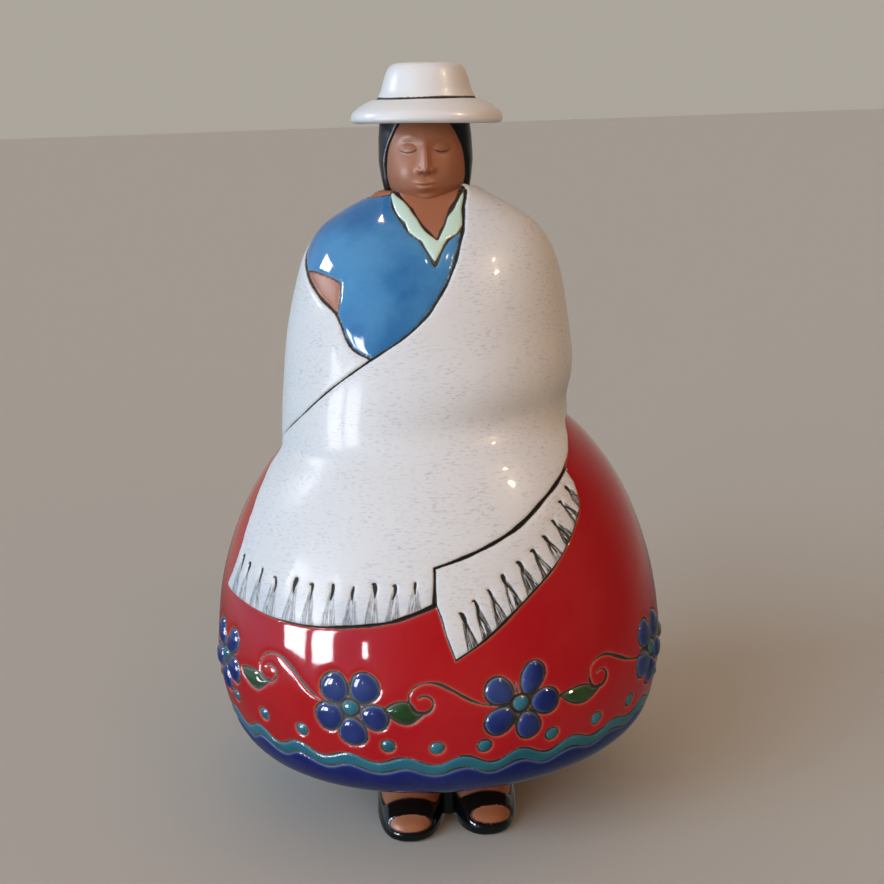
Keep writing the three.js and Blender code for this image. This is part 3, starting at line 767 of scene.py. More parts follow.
# %% The surface of the body from a place on the round grid
climb_rows = np.linspace(-1, LAST_ROW + 1, 5001)
side_radius, side_height = body_profile(np.full_like(climb_rows, 90.0), climb_rows)
climb = np.concatenate([[0], np.cumsum(np.hypot(np.diff(side_radius), np.diff(side_height)))])
BODY_CLIMB = float(climb[-1])
line_memory = {}


def body_surface(places):
    """Rows of (sin, cos, climb) to points, with the distance to the lines kept aside."""
    angle = angle_of(places)
    row = np.interp(places[:, 2], climb, climb_rows)
    bare = body_point(angle, row)
    height = body_profile(angle, row)[1]
    line = distance_to_lines(bare, lines)
    edge = distance_to_lines(bare, [(curve, 0 * half) for curve, half in lines[:edge_lines]])
    out = layer_height(angle, height, edge) + island_rise(angle, height, bare) + glaze_relief(line)
    out *= (row > 0) & (row < LAST_ROW)
    line_memory["body"] = np.append(line_memory.get("body", []), line)
    return body_point(angle, row, out)


def body_size(places, points):
    """The wanted length of an edge: short at lines, longer with the distance from them."""
    line = line_memory["body"][-len(places):]
    fringe = (points[:, 1] < -40) & between(points[:, 2], 88, 150)
    back = points[:, 1] > 10
    finest = np.where(fringe, FINE_FRINGE, np.where(back, FINE_BACK, FINE_LINE))
    return np.clip(finest + 0.6 * (np.abs(line) - 0.45), finest, 3.6)



body_grid = closed_grid(72, np.linspace(0, BODY_CLIMB, 70))
body_places, body_triangles, body_points = refined(*body_grid, body_surface, body_size, 14)
body_rows = np.interp(body_places[:, 2], climb, climb_rows)
body_fringe = fringe_of(angle_of(body_places), body_profile(angle_of(body_places), body_rows)[1])
print("body:", len(body_triangles), "triangles")

# %% [markdown]
# ## The head
#
# The head is an egg, narrower and deeper below, and the face is one height added to its front.
# The proportions are those of any drawing manual: eyes half way up the head and one eye apart,
# the nose down to half way between eyes and chin, the mouth a third below it. The eyes are
# closed, so each is a round lid with one carved lash line. The same could be sculpted by hand,
# but as sums of soft bells every feature keeps a name and a size.

# %% The face
CHIN = 245.5
SKULL_TOP = 291
CHEEKS = 266
EYE_LINE = 268.25
NOSE_BASE = 258.7
MOUTH_LINE = 254.3
FACE_HALF = 16.3
FACE_DEPTH = 17
SKULL_DEPTH = 17.5
HEAD_OFFSET = 0.4
EYE_OUT = FACE_HALF / 2.5
EYE_HALF = FACE_HALF / 5 + 0.2


def lash_height(side):
    """The lower rim of a closed lid: a shallow arc that hangs from corner to corner."""
    across = np.clip((side - EYE_OUT) / EYE_HALF, -1.2, 1.2)
    return EYE_LINE - 0.6 - 1.15 * (1 - across ** 2)


def features(x, z):
    """How far the face stands out of the egg at x across and z up."""
    side = np.abs(x)
    down = (EYE_LINE - z) / (EYE_LINE - NOSE_BASE)
    bridge = np.clip(down + 0.1, 0, 1)
    under_nose = 1 / (1 + np.exp((NOSE_BASE - z) * 2.6))
    over_eyes = bump(np.maximum(z - EYE_LINE, 0), 3)
    socket = -1.2 * bump(side - EYE_OUT, 4.2) * bump(z - EYE_LINE - 0.3, 3)
    corner = np.clip((side - EYE_OUT) / EYE_HALF, -1, 1)
    lid = 1.0 * np.clip(1 - ((z - EYE_LINE + 0.3 + 0.5 * corner ** 2) / 2.2) ** 2 - corner ** 2, 0, 1)
    crease = -0.16 * bump(corner, 0.8) * bump(z - EYE_LINE - 1.9 + 0.9 * corner ** 2, 0.5)
    brow = 0.45 * bump(side - EYE_OUT - 0.2, 4.2) * bump(z - EYE_LINE - 4.6 + 0.06 * (side - EYE_OUT) ** 2, 1.3)
    nose = (0.8 + 2.8 * bridge) * bump(x, 1.45 + 1.0 * bridge ** 2) * under_nose * over_eyes
    tip = 0.7 * bump(x, 1.7) * bump(z - NOSE_BASE - 2, 1.6)
    wing = 1.15 * bump(side - 2.7, 1.05) * bump(z - NOSE_BASE - 1.3, 1.25)
    nostril = -0.8 * bump(side - 1.45, 0.75) * bump(z - NOSE_BASE - 0.1, 0.6)
    groove = -0.3 * bump(x, 0.8) * bump(z - MOUTH_LINE - 3, 1.2)
    muzzle = 1.1 * bump(x, 4.8) * bump(z - MOUTH_LINE, 2.6)
    bow = MOUTH_LINE + 1.1 - 0.25 * bump(x, 0.7) - 0.05 * side ** 1.5
    upper = 0.75 * bump(x, 3.3) * bump(z - bow, 0.85)
    lower = 0.95 * bump(x, 2.9) * bump(z - MOUTH_LINE + 1.25, 0.95)
    parting = -0.55 * bump(x, 3.7) * bump(z - MOUTH_LINE + 0.1 - 0.02 * side ** 2, 0.34)
    below = -0.45 * bump(x, 3) * bump(z - MOUTH_LINE + 3.4, 0.9)
    chin = 1.8 * bump(x, 4.8) * bump(z - CHIN - 3.2, 2.4)
    cheek = 0.9 * bump(side - 8.8, 4.4) * bump(z - NOSE_BASE - 0.4, 4.4)
    return (socket + lid + crease + brow + nose + tip + wing + nostril + groove + muzzle + upper
            + lower + parting + below + chin + cheek)


def head_surface(places):
    """An egg of rings, (half narrow sin a, -depth cos a), its front moved out by the features."""
    lift = np.clip(places[:, 2], -1, 1)
    s, c = places[:, 0], places[:, 1]
    z = CHEEKS + lift * np.where(lift < 0, CHEEKS - CHIN, SKULL_TOP - CHEEKS)
    below = np.abs(np.minimum(lift, 0))
    narrow = np.where(lift < 0, np.sqrt(1 - below ** 3.6), np.sqrt(1 - lift ** 2))
    jaw = np.where(lift < 0, (1 - below ** 3.2) ** 0.45, narrow)
    x = FACE_HALF * narrow * s
    depth = np.where(c > 0, FACE_DEPTH * jaw, SKULL_DEPTH * narrow)
    front = np.sqrt(np.maximum(c, 0)) * features(x, z)
    return np.stack([x + HEAD_OFFSET, -depth * c - front, z], -1)


lash_lines = []
for eye in (-EYE_OUT, EYE_OUT):
    across = eye + np.linspace(-EYE_HALF - 0.2, EYE_HALF + 0.2, 25)
    level = lash_height(np.abs(across))
    lash_lines.append(np.stack([across + HEAD_OFFSET, level], -1))


def lash_distance(points):
    """The distance, seen from the front, to the lash lines, less their half width."""
    best = np.full(len(points), REACH)
    near = np.flatnonzero((points[:, 1] < 0) & (np.abs(points[:, 2] - EYE_LINE) < 8))
    flat = points[near][:, [0, 2]]
    width = 0.3 * np.sqrt(np.linspace(0.02, 0.98, 25) * (1 - np.linspace(0.02, 0.98, 25)) * 4)
    for curve in lash_lines:
        best[near] = np.minimum(best[near], distance_to(flat, (curve, width)))
    return best


def face_surface(places):
    points = head_surface(places)
    line = lash_distance(points)
    points[:, 1] += 0.25 * (1 - ramp(line, -0.25, 0.3))
    line_memory["head"] = np.append(line_memory.get("head", []), line)
    return points


def head_size(places, points):
    """Fine over the features, coarse over the skull."""
    x, y, z = points.T
    detail = bump(x / 9.5, 1) * bump((z - 261.5) / 10.5, 1) * (y < -8)
    return mix(2.4, 0.42, np.clip(3 * detail, 0, 1))


head_grid = closed_grid(36, -np.cos(np.linspace(0, np.pi, 26)))
head_places, head_triangles, head_points = refined(*head_grid, face_surface, head_size, 12)
print("head:", len(head_triangles), "triangles")

# %% [markdown]
# ## Hair and hat
#
# The hair is a smooth black cap, parted by a pointed arch for the face, and the hat is a turned
# shape that sits a little askew. Cutting the arch with a Boolean would leave a sharp rim; here
# the hair's own radius dips below the skin inside the arch, so its rim is rounded like glaze.

# %% Hair
HAIR_HALF = 18.4
HAIR_DEPTH = 15.5
HAIR_BEHIND = 19.5
HAIR_LOW = 246
HAIR_TOP = 281
ARCH_HALF = 15.5
ARCH_SIDE_TOP = 262
HAIR_RINGS = np.array([
    [HAIR_LOW, 0.84], [250, 0.88], [256, 0.95], [263, 1], [272, 0.985], [HAIR_TOP, 0.93],
])


def arch_half(z):
    """Half the width of the bare arch, 15.5 - t - 14.5 t^2, with t from 0 at ARCH_SIDE_TOP to
    1 at the point, where z = 262 + 18 t + 10 t^2."""
    t = (-18 + np.sqrt(324 + 40 * np.clip(z - ARCH_SIDE_TOP, 0, 28))) / 20
    return ARCH_HALF - t - (ARCH_HALF - 1) * t ** 2


def hair_surface(places):
    """Rings of two half ellipses that dip in by 7 mm inside the arch."""
    t = places[:, 2]
    z = HAIR_LOW + (HAIR_TOP - HAIR_LOW) * np.clip(t, 0, 1)
    closing = np.clip(1 + 4 * t, 0, 1) * np.clip(5 - 4 * t, 0, 1)
    scale = np.interp(z, HAIR_RINGS[:, 0], HAIR_RINGS[:, 1]) * closing
    s, c = places[:, 0], places[:, 1]
    x, y = HAIR_HALF * scale * s, np.where(c > 0, HAIR_DEPTH, HAIR_BEHIND) * scale * c
    bare = soft_step(arch_half(z) - np.abs(x), 1.3) * (c > 0)
    shrink = 1 - 0.42 * bare
    return np.stack([x * shrink + HEAD_OFFSET, -y * shrink, z], -1)


def hair_size(places, points):
    x, y, z = points.T
    rim = np.abs(np.abs(x - HEAD_OFFSET) - arch_half(z))
    return np.where(y < 0, np.clip(0.8 + 0.6 * (rim - 1.3), 0.8, 2.4), 2.6)


hair_grid = closed_grid(48, np.linspace(-0.25, 1.25, 25))
hair_places, hair_triangles, hair_points = refined(*hair_grid, hair_surface, hair_size, 10)
print("hair:", len(hair_triangles), "triangles")

# %% Hat
HAT_OFFSET = 1.3
HAT_TILT = 1.3
HAT_PROFILE = np.array([
    [0, 279], [12, 278.7], [23, 278.4], [27, 277.3], [29, 277.9], [29.6, 279.3], [28.6, 281.7],
    [25, 284.2], [22, 285.8], [19, 287.6], [17.8, 289.2], [16.8, 292.4], [15.8, 295.6],
    [14.4, 298.3], [11.8, 299.8], [6, 300], [0, 300],
])
HAT_BAND = 287.1
HAT_BAND_HALF = 0.75
band_row = float(np.interp(HAT_BAND, HAT_PROFILE[5:12, 1], np.arange(5, 12)))


def turned_hat(places, out=0):
    """The profile turned about the hat's axis, a little uneven, tilted about the brim."""
    row = places[:, 2]
    radius, z = smooth_rows(HAT_PROFILE, row).T
    ahead = smooth_rows(HAT_PROFILE, row + 0.02) - smooth_rows(HAT_PROFILE, row - 0.02)
    length = np.hypot(*ahead.T) + 1e-9
    angle = np.radians(angle_of(places))
    brim = bump(z - 279, 4)
    radius = np.maximum(radius + out * ahead[:, 1] / length, 0)
    radius = radius * (1 + 0.008 * brim * np.sin(2 * angle + 0.6))
    z = z - out * ahead[:, 0] / length + 0.35 * brim * np.sin(2 * angle + 2) * ramp(radius, 15, 29)
    x, y = radius * places[:, 0], -radius * places[:, 1]
    tilt = math.radians(HAT_TILT)
    up = z - BRIM_BASE
    return np.stack([HAT_OFFSET + x * math.cos(tilt) + up * math.sin(tilt), y,
                     BRIM_BASE - x * math.sin(tilt) + up * math.cos(tilt)], -1)


def hat_surface(places):
    angle = np.radians(angle_of(places))
    here = band_row + 0.10 * np.sin(angle + 0.4) + 0.05 * np.sin(3 * angle)
    waver = 1 + 0.2 * np.sin(5 * angle) * np.sin(2 * angle + 1)
    line = np.abs(places[:, 2] - here) * 3.1 - HAT_BAND_HALF * waver
    line = np.minimum(line, REACH)
    line_memory["hat"] = np.append(line_memory.get("hat", []), line)
    return turned_hat(places, glaze_relief(line))


def hat_size(places, points):
    line = np.abs(line_memory["hat"][-len(places):])
    rim = np.abs(places[:, 2] - 5)
    return np.minimum(np.clip(0.9 + 0.6 * (line - 0.5), 0.9, 2.6), np.clip(1.2 + 0.5 * rim, 1.2, 2.6))


hat_grid = closed_grid(60, np.linspace(0, len(HAT_PROFILE) - 1, 41))
hat_places, hat_triangles, hat_points = refined(*hat_grid, hat_surface, hat_size, 10)
print("hat:", len(hat_triangles), "triangles")

# %% [markdown]
# ## Feet in sandals
#
# Each foot is a stack of squared ellipses. The sandal is the same surface, raised a little where
# it is leather: everything below a line that falls away to the sides, apart from an oval window
# for the toes. A web of clay between the feet holds them together.

# %% Feet
# place across, place of the toes, splay, share of the full width, toe window: shift and place up
FEET = [(-13.4, -50.3, -0.5, 1.03, 0, 7.4), (14.6, -46.6, 3, 0.98, 1.8, 8.2)]
HEEL = 27
SQUARENESS = 2.6
LEATHER_RELIEF = 0.9
FOOT_SECTIONS = np.array([
    [0, 12, 1], [1.5, 12.8, 0], [4.2, 12.9, 0.1], [7, 12.6, 1.8], [10, 12.4, 6.5], [15, 12.4, 14.5],
    [22, 12.7, 18.5], [34, 13, 25],
])
FOOT_ROWS = len(FOOT_SECTIONS) - 1


def foot_rings(places, out, width):
    """Squared ellipses |x/half|^2.6 + |y/length|^2.6 = 1 from the sole up; flat below and above."""
    row = np.clip(places[:, 2], 0, FOOT_ROWS)
    z, half, back = smooth_rows(FOOT_SECTIONS, row).T
    half = half * width
    closing = np.clip(1 + places[:, 2], 0, 1) * np.clip(FOOT_ROWS + 1 - places[:, 2], 0, 1)
    s, c = places[:, 0], places[:, 1]
    size = (np.abs(s) ** SQUARENESS + np.abs(c) ** SQUARENESS + 1e-12) ** (-1 / SQUARENESS)
    front, heel = back - out, HEEL + out
    return z, (half + out) * s * size * closing, front, heel, size * closing * c


def foot_surface(places, foot):
    """The foot with its leather raised; keeps the distance to the leather's edge."""
    x0, toe, splay, width, window_shift, window_up = foot
    z, across, front, heel, share = foot_rings(places, 0, width)
    slope = 0.89 * z + 0.45 * (front + (heel - toe - front) / 2 * (1 - share))
    window = (np.hypot((across - window_shift) / 8.4, (slope - window_up) / 3.7) - 1) * 4.2
    top = 17.3 - 3.4 * (across / 12) ** 2 - slope
    side = 9.5 - z
    leather = np.minimum(np.maximum(top, side), window)
    raised = LEATHER_RELIEF * soft_step(leather, 0.5) * ramp(z, -0.1, 0.6)
    z, across, front, heel, share = foot_rings(places, raised, width)
    along = (toe + front + heel) / 2 - (heel - toe - front) / 2 * share
    line_memory["feet"] = np.append(line_memory.get("feet", []), leather)
    c, s = math.cos(math.radians(splay)), math.sin(math.radians(splay))
    return np.stack([x0 + across * c - along * s, along * c + across * s, z], -1)


def foot_size(places, points):
    leather = np.abs(line_memory["feet"][-len(places):])
    front = points[:, 1] < -15
    return np.where(front, np.clip(0.95 + 0.6 * (leather - 0.5), 0.95, 2.8), 3.4)


feet = []
for foot in FEET:
    foot_grid = closed_grid(40, np.linspace(-1, FOOT_ROWS + 1, 28))
    line_memory["feet"] = np.zeros(0)
    result = refined(*foot_grid, lambda places: foot_surface(places, foot), foot_size, 10)
    feet.append((*result, line_memory["feet"]))
    print("foot:", len(result[1]), "triangles")

# %% The web between the feet
WEB_LEFT, WEB_RIGHT, WEB_FRONT, WEB_BACK, WEB_TOP = -4.5, 7.5, -26, 25, 30


def web_surface(places):
    """A block with round corners, |x|^4 + |y|^4 = 1, closed flat below and above."""
    s, c, t = places.T
    closing = np.clip(1 + t * 5, 0, 1) * np.clip(6 - t * 5, 0, 1)
    size = (s ** 4 + c ** 4 + 1e-12) ** -0.25 * closing
    x = (WEB_LEFT + WEB_RIGHT) / 2 + (WEB_RIGHT - WEB_LEFT) / 2 * s * size
    y = (WEB_FRONT + WEB_BACK) / 2 - (WEB_BACK - WEB_FRONT) / 2 * c * size
    return np.stack([x, y, WEB_TOP * np.clip(t, 0, 1)], -1)


web_places, web_triangles = closed_grid(40, np.linspace(-0.2, 1.2, 15))
web_points = web_surface(web_places)

# %% [markdown]
# ## One shell
#
# The parts are closed surfaces that run into each other. A real figure is one casting, so they
# are joined by Boolean unions, which also drop everything that lies hidden inside. Each face
# carries the number of its glaze, and each vertex its distance to the nearest carved line.

# %% Sway and place
def swayed_figure(points):
    """The waist leans over and lies higher on its left side, as on a hand-built figure."""
    x, y, z = points.T
    waist = z - WAIST
    lean = -2.6 * bump(waist, 24) + 1.1 * ramp(z, 195, 225)
    lift = 4 * bump(waist, np.where(waist < 0, 32, 21)) + 1.2 * bump(z - SKIRT_BASE, 12)
    return np.stack([x + lean, y, z + lift * x / 57], -1)


def body_fields(angle, height):
    """The number of the glaze on the body at each place."""
    fold, side, end, collar, neck, forearm = cloth_masks(angle, height)
    field = np.full(len(height), FIELD["skirt"])
    field[height < wave_line(angle, BAND_TOP, WAVE_HEIGHT)] = FIELD["turquoise"]
    field[height < wave_line(angle, BAND_TOP - BAND_WIDTH, LOW_WAVE_HEIGHT)] = FIELD["cobalt"]
    field[height < SKIRT_BASE + 0.3] = FIELD["skin"]
    for centre_angle, centre_height, outline, colour, top, line in islands:
        reach = np.abs(outline).max() + 1
        near = np.flatnonzero((np.abs(height - centre_height) < reach)
                              & (np.abs(wrap(angle - centre_angle)) < 0.8 * reach))
        flat = flat_from(angle[near], height[near], centre_angle, centre_height)
        field[near[inside(flat, outline)]] = FIELD[colour]
    field[height > 185] = FIELD["blouse"]
    field[fold | side | end] = FIELD["shawl"]
    field[collar] = FIELD["collar"]
    field[neck | forearm] = FIELD["skin"]
    return field


def middle_of(places, triangles):
    """The middle of each triangle on the round grid, as (sin, cos, row)."""
    middle = places[triangles].mean(1)
    middle[:, :2] /= np.hypot(middle[:, 0], middle[:, 1])[:, None] + 1e-9
    return middle


body_middle = middle_of(body_places, body_triangles)
body_row = np.interp(body_middle[:, 2], climb, climb_rows)
body_angle = angle_of(body_middle)
body_field = body_fields(body_angle, body_profile(body_angle, body_row)[1])


def same(triangles, name):
    return np.full(len(triangles), FIELD[name])


shells = [
    (body_points, body_triangles, body_field, line_memory["body"]),
    (head_points, head_triangles, same(head_triangles, "skin"), line_memory["head"]),
    (hair_points, hair_triangles, same(hair_triangles, "hair"), np.full(len(hair_points), REACH)),
    (hat_points, hat_triangles, same(hat_triangles, "hat"), line_memory["hat"]),
    (web_points, web_triangles, same(web_triangles, "leather"), np.full(len(web_points), REACH)),
]
for foot_places, foot_triangles, foot_points, leather in feet:
    on_leather = leather[foot_triangles].mean(1) > 0
    foot_field = np.where(on_leather, FIELD["leather"], FIELD["skin"])
    shells.append((foot_points, foot_triangles, foot_field, np.abs(leather) - 0.35))
for points, triangles, field, line in shells:
    print(len(points), "points,", len(triangles), "faces,", len(line), "distances")

# %% Join the shells
everything = np.vstack([swayed_figure(points) for points, *_ in shells])
middle = (everything.max(0) + everything.min(0)) / 2
shift = np.array([-middle[0], -middle[1], -everything[:, 2].min()])
shift += 1000 * np.array([(low[0] + high[0]) / 2, (low[1] + high[1]) / 2, low[2]])
print("shift to the frame, mm:", np.round(shift, 2))
materials = [bpy.data.materials.new(name) for name in FIELDS]


def shell_object(name, points, triangles, field, line):
    """A mesh from whole arrays, with its glaze numbers and its line distances."""
    mesh = bpy.data.meshes.new(name)
    placed = (swayed_figure(points) + shift) / 1000
    mesh.from_pydata(placed, [], triangles)
    for material in materials:
        mesh.materials.append(material)
    mesh.polygons.foreach_set("material_index", field.astype(np.int32))
    number, fall = body_fringe if name == "body" else (np.zeros(len(points)), np.full(len(points), -1.0))
    for attribute, values in (("line", line), ("drawn", np.ones(len(points))), ("tassel", number), ("fall", fall)):
        mesh.attributes.new(attribute, "FLOAT", "POINT").data.foreach_set("value", values)
    piece = bpy.data.objects.new(name, mesh)
    bpy.context.scene.collection.objects.link(piece)
    return piece


names = ["body", "head", "hair", "hat", "web", "left foot", "right foot"]
parts = [shell_object(name, *shell) for name, shell in zip(names, shells)]
whole = parts[0]
for part in parts[1:]:
    union = whole.modifiers.new(part.name, "BOOLEAN")
    union.operation, union.solver, union.object = "UNION", "MANIFOLD", part
    union.material_mode = "INDEX"
joined = bpy.data.meshes.new_from_object(whole.evaluated_get(bpy.context.evaluated_depsgraph_get()))
joined.name = "figurine"
for part in parts:
    bpy.data.meshes.remove(part.data)
figurine = bpy.data.objects.new("glazed_figurine", joined)
bpy.context.scene.collection.objects.link(figurine)
print("joined:", len(joined.polygons), "faces")

# %% [markdown]
# The unions make new vertices where two parts meet, and those hold no distance yet. Each takes
# the mean of its neighbours, which needs no loop: sums over all edges do it at once.

# %% Distances at the seams
def read(mesh, name):
    values = np.empty(len(mesh.vertices))
    mesh.attributes[name].data.foreach_get("value", values)
    return values


line_values, drawn = read(joined, "line"), read(joined, "drawn")
edge_ends = np.empty(2 * len(joined.edges), np.int32)
joined.edges.foreach_get("vertices", edge_ends)
edge_ends = edge_ends.reshape(-1, 2)
drawn = (drawn > 0.999).astype(float)
for _ in range(4):
    total, weight = np.zeros(len(drawn)), np.zeros(len(drawn))
    for a, b in (edge_ends.T, edge_ends[:, ::-1].T):
        np.add.at(total, a, line_values[b] * drawn[b])
        np.add.at(weight, a, drawn[b])
    fresh = (drawn == 0) & (weight > 0)
    line_values[fresh] = total[fresh] / weight[fresh]
    drawn[fresh] = 1
joined.attributes["line"].data.foreach_set("value", line_values)
joined.attributes.remove(joined.attributes["drawn"])
joined.polygons.foreach_set("use_smooth", np.ones(len(joined.polygons), bool))
joined.set_sharp_from_angle(angle=math.radians(50))
print("line distances run from", round(float(line_values.min()), 2), "to", round(float(line_values.max()), 2))

# %% [markdown]
# ## Glazes
#
# Each glaze is a Principled shader. The colour thins to a paler rim where it runs into a line,
# and the line itself is bare, dark and dry. All of that reads one attribute, the distance to the
# nearest line. Node maths is easier to read as an expression, so a small class turns sockets
# into values that can be added and multiplied.

# %% Shader values
class Value:
    """A socket as a value: +, -, * and / add Math nodes to its tree."""

    def __init__(self, tree, socket=None):
        self.tree, self.socket = tree, socket

    def add(self, kind, settings, inputs, output=0):
        """A node of any kind: its settings first, then its inputs as values or links."""
        node = self.tree.nodes.new(kind)
        for name, setting in settings.items():
            setattr(node, name, setting)
        for key, given in inputs.items():
            if isinstance(given, Value):
                self.tree.links.new(given.socket, node.inputs[key])
            else:
                node.inputs[key].default_value = given
        return Value(self.tree, node.outputs[output] if node.outputs else None)

    def math(self, operation, first, second=0.0):
        return self.add("ShaderNodeMath", {"operation": operation}, {0: first, 1: second})

    def __add__(self, other):
        return self.math("ADD", self, other)

    def __sub__(self, other):
        return self.math("SUBTRACT", self, other)

    def __rsub__(self, other):
        return self.math("SUBTRACT", other, self)

    def __mul__(self, other):
        return self.math("MULTIPLY", self, other)

    def __truediv__(self, other):
        return self.math("DIVIDE", self, other)

    def step(self, start, end):
        """0 below start and 1 above end, with a smooth slope between."""
        limits = {"From Min": start, "From Max": end, "Value": self}
        return self.add("ShaderNodeMapRange", {"interpolation_type": "SMOOTHSTEP"}, limits)

    def blend(self, first, second):
        """The first colour where this value is 0, the second where it is 1."""
        return self.add("ShaderNodeMix", {"data_type": "RGBA"}, {0: self, 6: first, 7: second}, 2)

    def __rtruediv__(self, other):
        return self.math("DIVIDE", other, self)

    __radd__ = __add__
    __rmul__ = __mul__


def colour(red, green, blue):
    return (red, green, blue, 1.0)


# %% One glaze
DRY_LINE = colour(0.022, 0.021, 0.017)
GREY_LINE = colour(0.13, 0.115, 0.095)


def strands(start, grit):
    """Ink in the fringe. Each tassel is a fan, u = aside / (0.38 - 0.3 fall), and its strokes are
    the level lines of a noise that is drawn out along the fan, and differs for each tassel."""
    tassel = start.add("ShaderNodeAttribute", {"attribute_name": "tassel"}, {}, "Fac")
    fall = start.add("ShaderNodeAttribute", {"attribute_name": "fall"}, {}, "Fac")
    number = start.math("ROUND", tassel)
    fan = (tassel - number) / start.math("MAXIMUM", 0.38 - fall * 0.30, 0.06)
    strokes = 0.0
    for across, strength in ((1.6, 1.0), (2.8, 0.85), (4.0, 0.6)):
        place = start.add("ShaderNodeCombineXYZ", {}, {
            "X": fan * across + number * 5.1, "Y": fall * 0.8 + number * 2.3, "Z": number * 1.7})
        level = start.add("ShaderNodeTexNoise", {}, {"Vector": place, "Scale": 1.6, "Detail": 1.5}, "Fac")
        stroke = 1.0 - start.math("ABSOLUTE", level - 0.5).step(0.02, 0.08)
        strokes = start.math("MAXIMUM", stroke * strength, strokes)
    inside = 1.0 - start.math("ABSOLUTE", fan).step(0.8, 1.15)
    inside = inside * fall.step(0.0, 0.08) * (1.0 - fall.step(0.68, 0.9))
    at_end = tassel.step(14.0, 15.0)
    ink = strokes * inside * (0.45 + grit * 0.8) * (0.75 + at_end * 0.75)
    wash = fall.step(-0.1, 0.05) * (1.0 - fall.step(0.35, 0.95)) * (1.0 - at_end * 0.5)
    return ink, wash


def glaze(name, deep, thin, rim=0.6, roughness=0.07, line_colour=DRY_LINE, worn_colour=GREY_LINE, dryness=0.62,
          dashes=0.0, mottle=0.12, specular=0.5, coat=0.0, pores=0.0):
    """Fills the material `name`: deep glaze, a thin rim beside lines, and the dry line."""
    material = materials[FIELD[name]]
    material.use_nodes = True
    tree = material.node_tree
    tree.nodes.clear()
    start = Value(tree)
    place = start.add("ShaderNodeTexCoord", {}, {}, "Object")
    line = start.add("ShaderNodeAttribute", {"attribute_name": "line"}, {}, "Fac")
    grit = start.add("ShaderNodeTexNoise", {}, {"Vector": place, "Scale": 900.0, "Detail": 3.0}, "Fac")
    cloud = start.add("ShaderNodeTexNoise", {}, {"Vector": place, "Scale": 42.0, "Detail": 4.0}, "Fac")
    rough_line = line + (grit - 0.5) * 0.35
    dry = 1.0 - rough_line.step(-0.12, 0.12)
    near_line = start.math("EXPONENT", start.math("MAXIMUM", line, 0.0) * -3.4)
    body_colour = (cloud.step(0.3, 0.72) * mottle).blend(deep, thin)
    if dashes:
        stretch = start.add("ShaderNodeMapping", {}, {
            "Vector": place, "Rotation": (0.0, math.radians(16), 0.0), "Scale": (0.28, 0.28, 1.0)})
        stroke = start.add("ShaderNodeTexNoise", {}, {"Vector": stretch, "Scale": 1500.0, "Detail": 2.0,
                                                      "Roughness": 0.6}, "Fac")
        patch = start.add("ShaderNodeTexNoise", {}, {"Vector": place, "Scale": 90.0, "Detail": 3.0}, "Fac")
        mark = stroke.step(0.5, 0.72) * patch.step(0.2, 0.7) * dashes
        body_colour = mark.blend(body_colour, colour(0.25, 0.27, 0.33))
        ink, wash = strands(start, grit)
        body_colour = (wash * patch.step(0.3, 0.7) * 0.4).blend(body_colour, colour(0.36, 0.44, 0.52))
        body_colour = ink.blend(body_colour, colour(0.03, 0.032, 0.035))
    rimmed = (near_line * rim).blend(body_colour, thin)
    worn = rough_line.step(-0.42, 0.05) * (0.35 + cloud.step(0.35, 0.65) * 0.65)
    lines_colour = worn.blend(line_colour, worn_colour)
    surface_colour = dry.blend(rimmed, lines_colour)
    surface_roughness = roughness + dry * (dryness - roughness) + (cloud - 0.5) * 0.03
    wave = start.add("ShaderNodeTexNoise", {}, {"Vector": place, "Scale": 130.0, "Detail": 1.0}, "Fac")
    height = cloud * 0.8 + wave * 0.5 + grit * (dry * 0.5 + pores)
    relief = start.add("ShaderNodeBump", {}, {"Height": height, "Strength": 0.12, "Distance": 0.0006}, "Normal")
    shader = start.add("ShaderNodeBsdfPrincipled", {}, {
        "Base Color": surface_colour, "Roughness": surface_roughness, "Normal": relief,
        "IOR": 1.52, "Specular IOR Level": specular, "Coat Weight": cloud.step(0.4, 0.62) * (1.0 - dry) * coat,
        "Coat Roughness": 0.04})
    start.add("ShaderNodeOutputMaterial", {}, {"Surface": shader})
    return material


glaze("skirt", colour(0.39, 0.006, 0.011), colour(0.72, 0.14, 0.085), rim=0.75, mottle=0.05)
glaze("shawl", colour(0.66, 0.655, 0.65), colour(0.74, 0.73, 0.72), rim=0.2, roughness=0.34, dashes=0.42,
      specular=0.12, coat=0.14)
glaze("hat", colour(0.71, 0.69, 0.67), colour(0.78, 0.76, 0.74), rim=0.2, roughness=0.32, specular=0.2, coat=0.3)
glaze("blouse", colour(0.022, 0.13, 0.32), colour(0.14, 0.40, 0.64), rim=0.5, mottle=0.45)
glaze("collar", colour(0.55, 0.72, 0.60), colour(0.68, 0.80, 0.71), rim=0.3)
glaze("turquoise", colour(0.010, 0.095, 0.14), colour(0.07, 0.26, 0.34), rim=0.6, mottle=0.45)
glaze("cobalt", colour(0.003, 0.008, 0.105), colour(0.11, 0.17, 0.38), rim=0.9, mottle=0.10)
glaze("petal", colour(0.005, 0.013, 0.112), colour(0.10, 0.16, 0.36), rim=0.9, mottle=0.28)
glaze("leaf", colour(0.010, 0.042, 0.008), colour(0.10, 0.17, 0.08), rim=0.6, mottle=0.3)
glaze("hair", colour(0.006, 0.007, 0.009), colour(0.012, 0.014, 0.018), rim=0, roughness=0.32, specular=0.3)
glaze("leather", colour(0.003, 0.004, 0.004), colour(0.006, 0.007, 0.007), rim=0, roughness=0.06,
      line_colour=colour(0.003, 0.003, 0.003), worn_colour=colour(0.004, 0.004, 0.004), dryness=0.12)
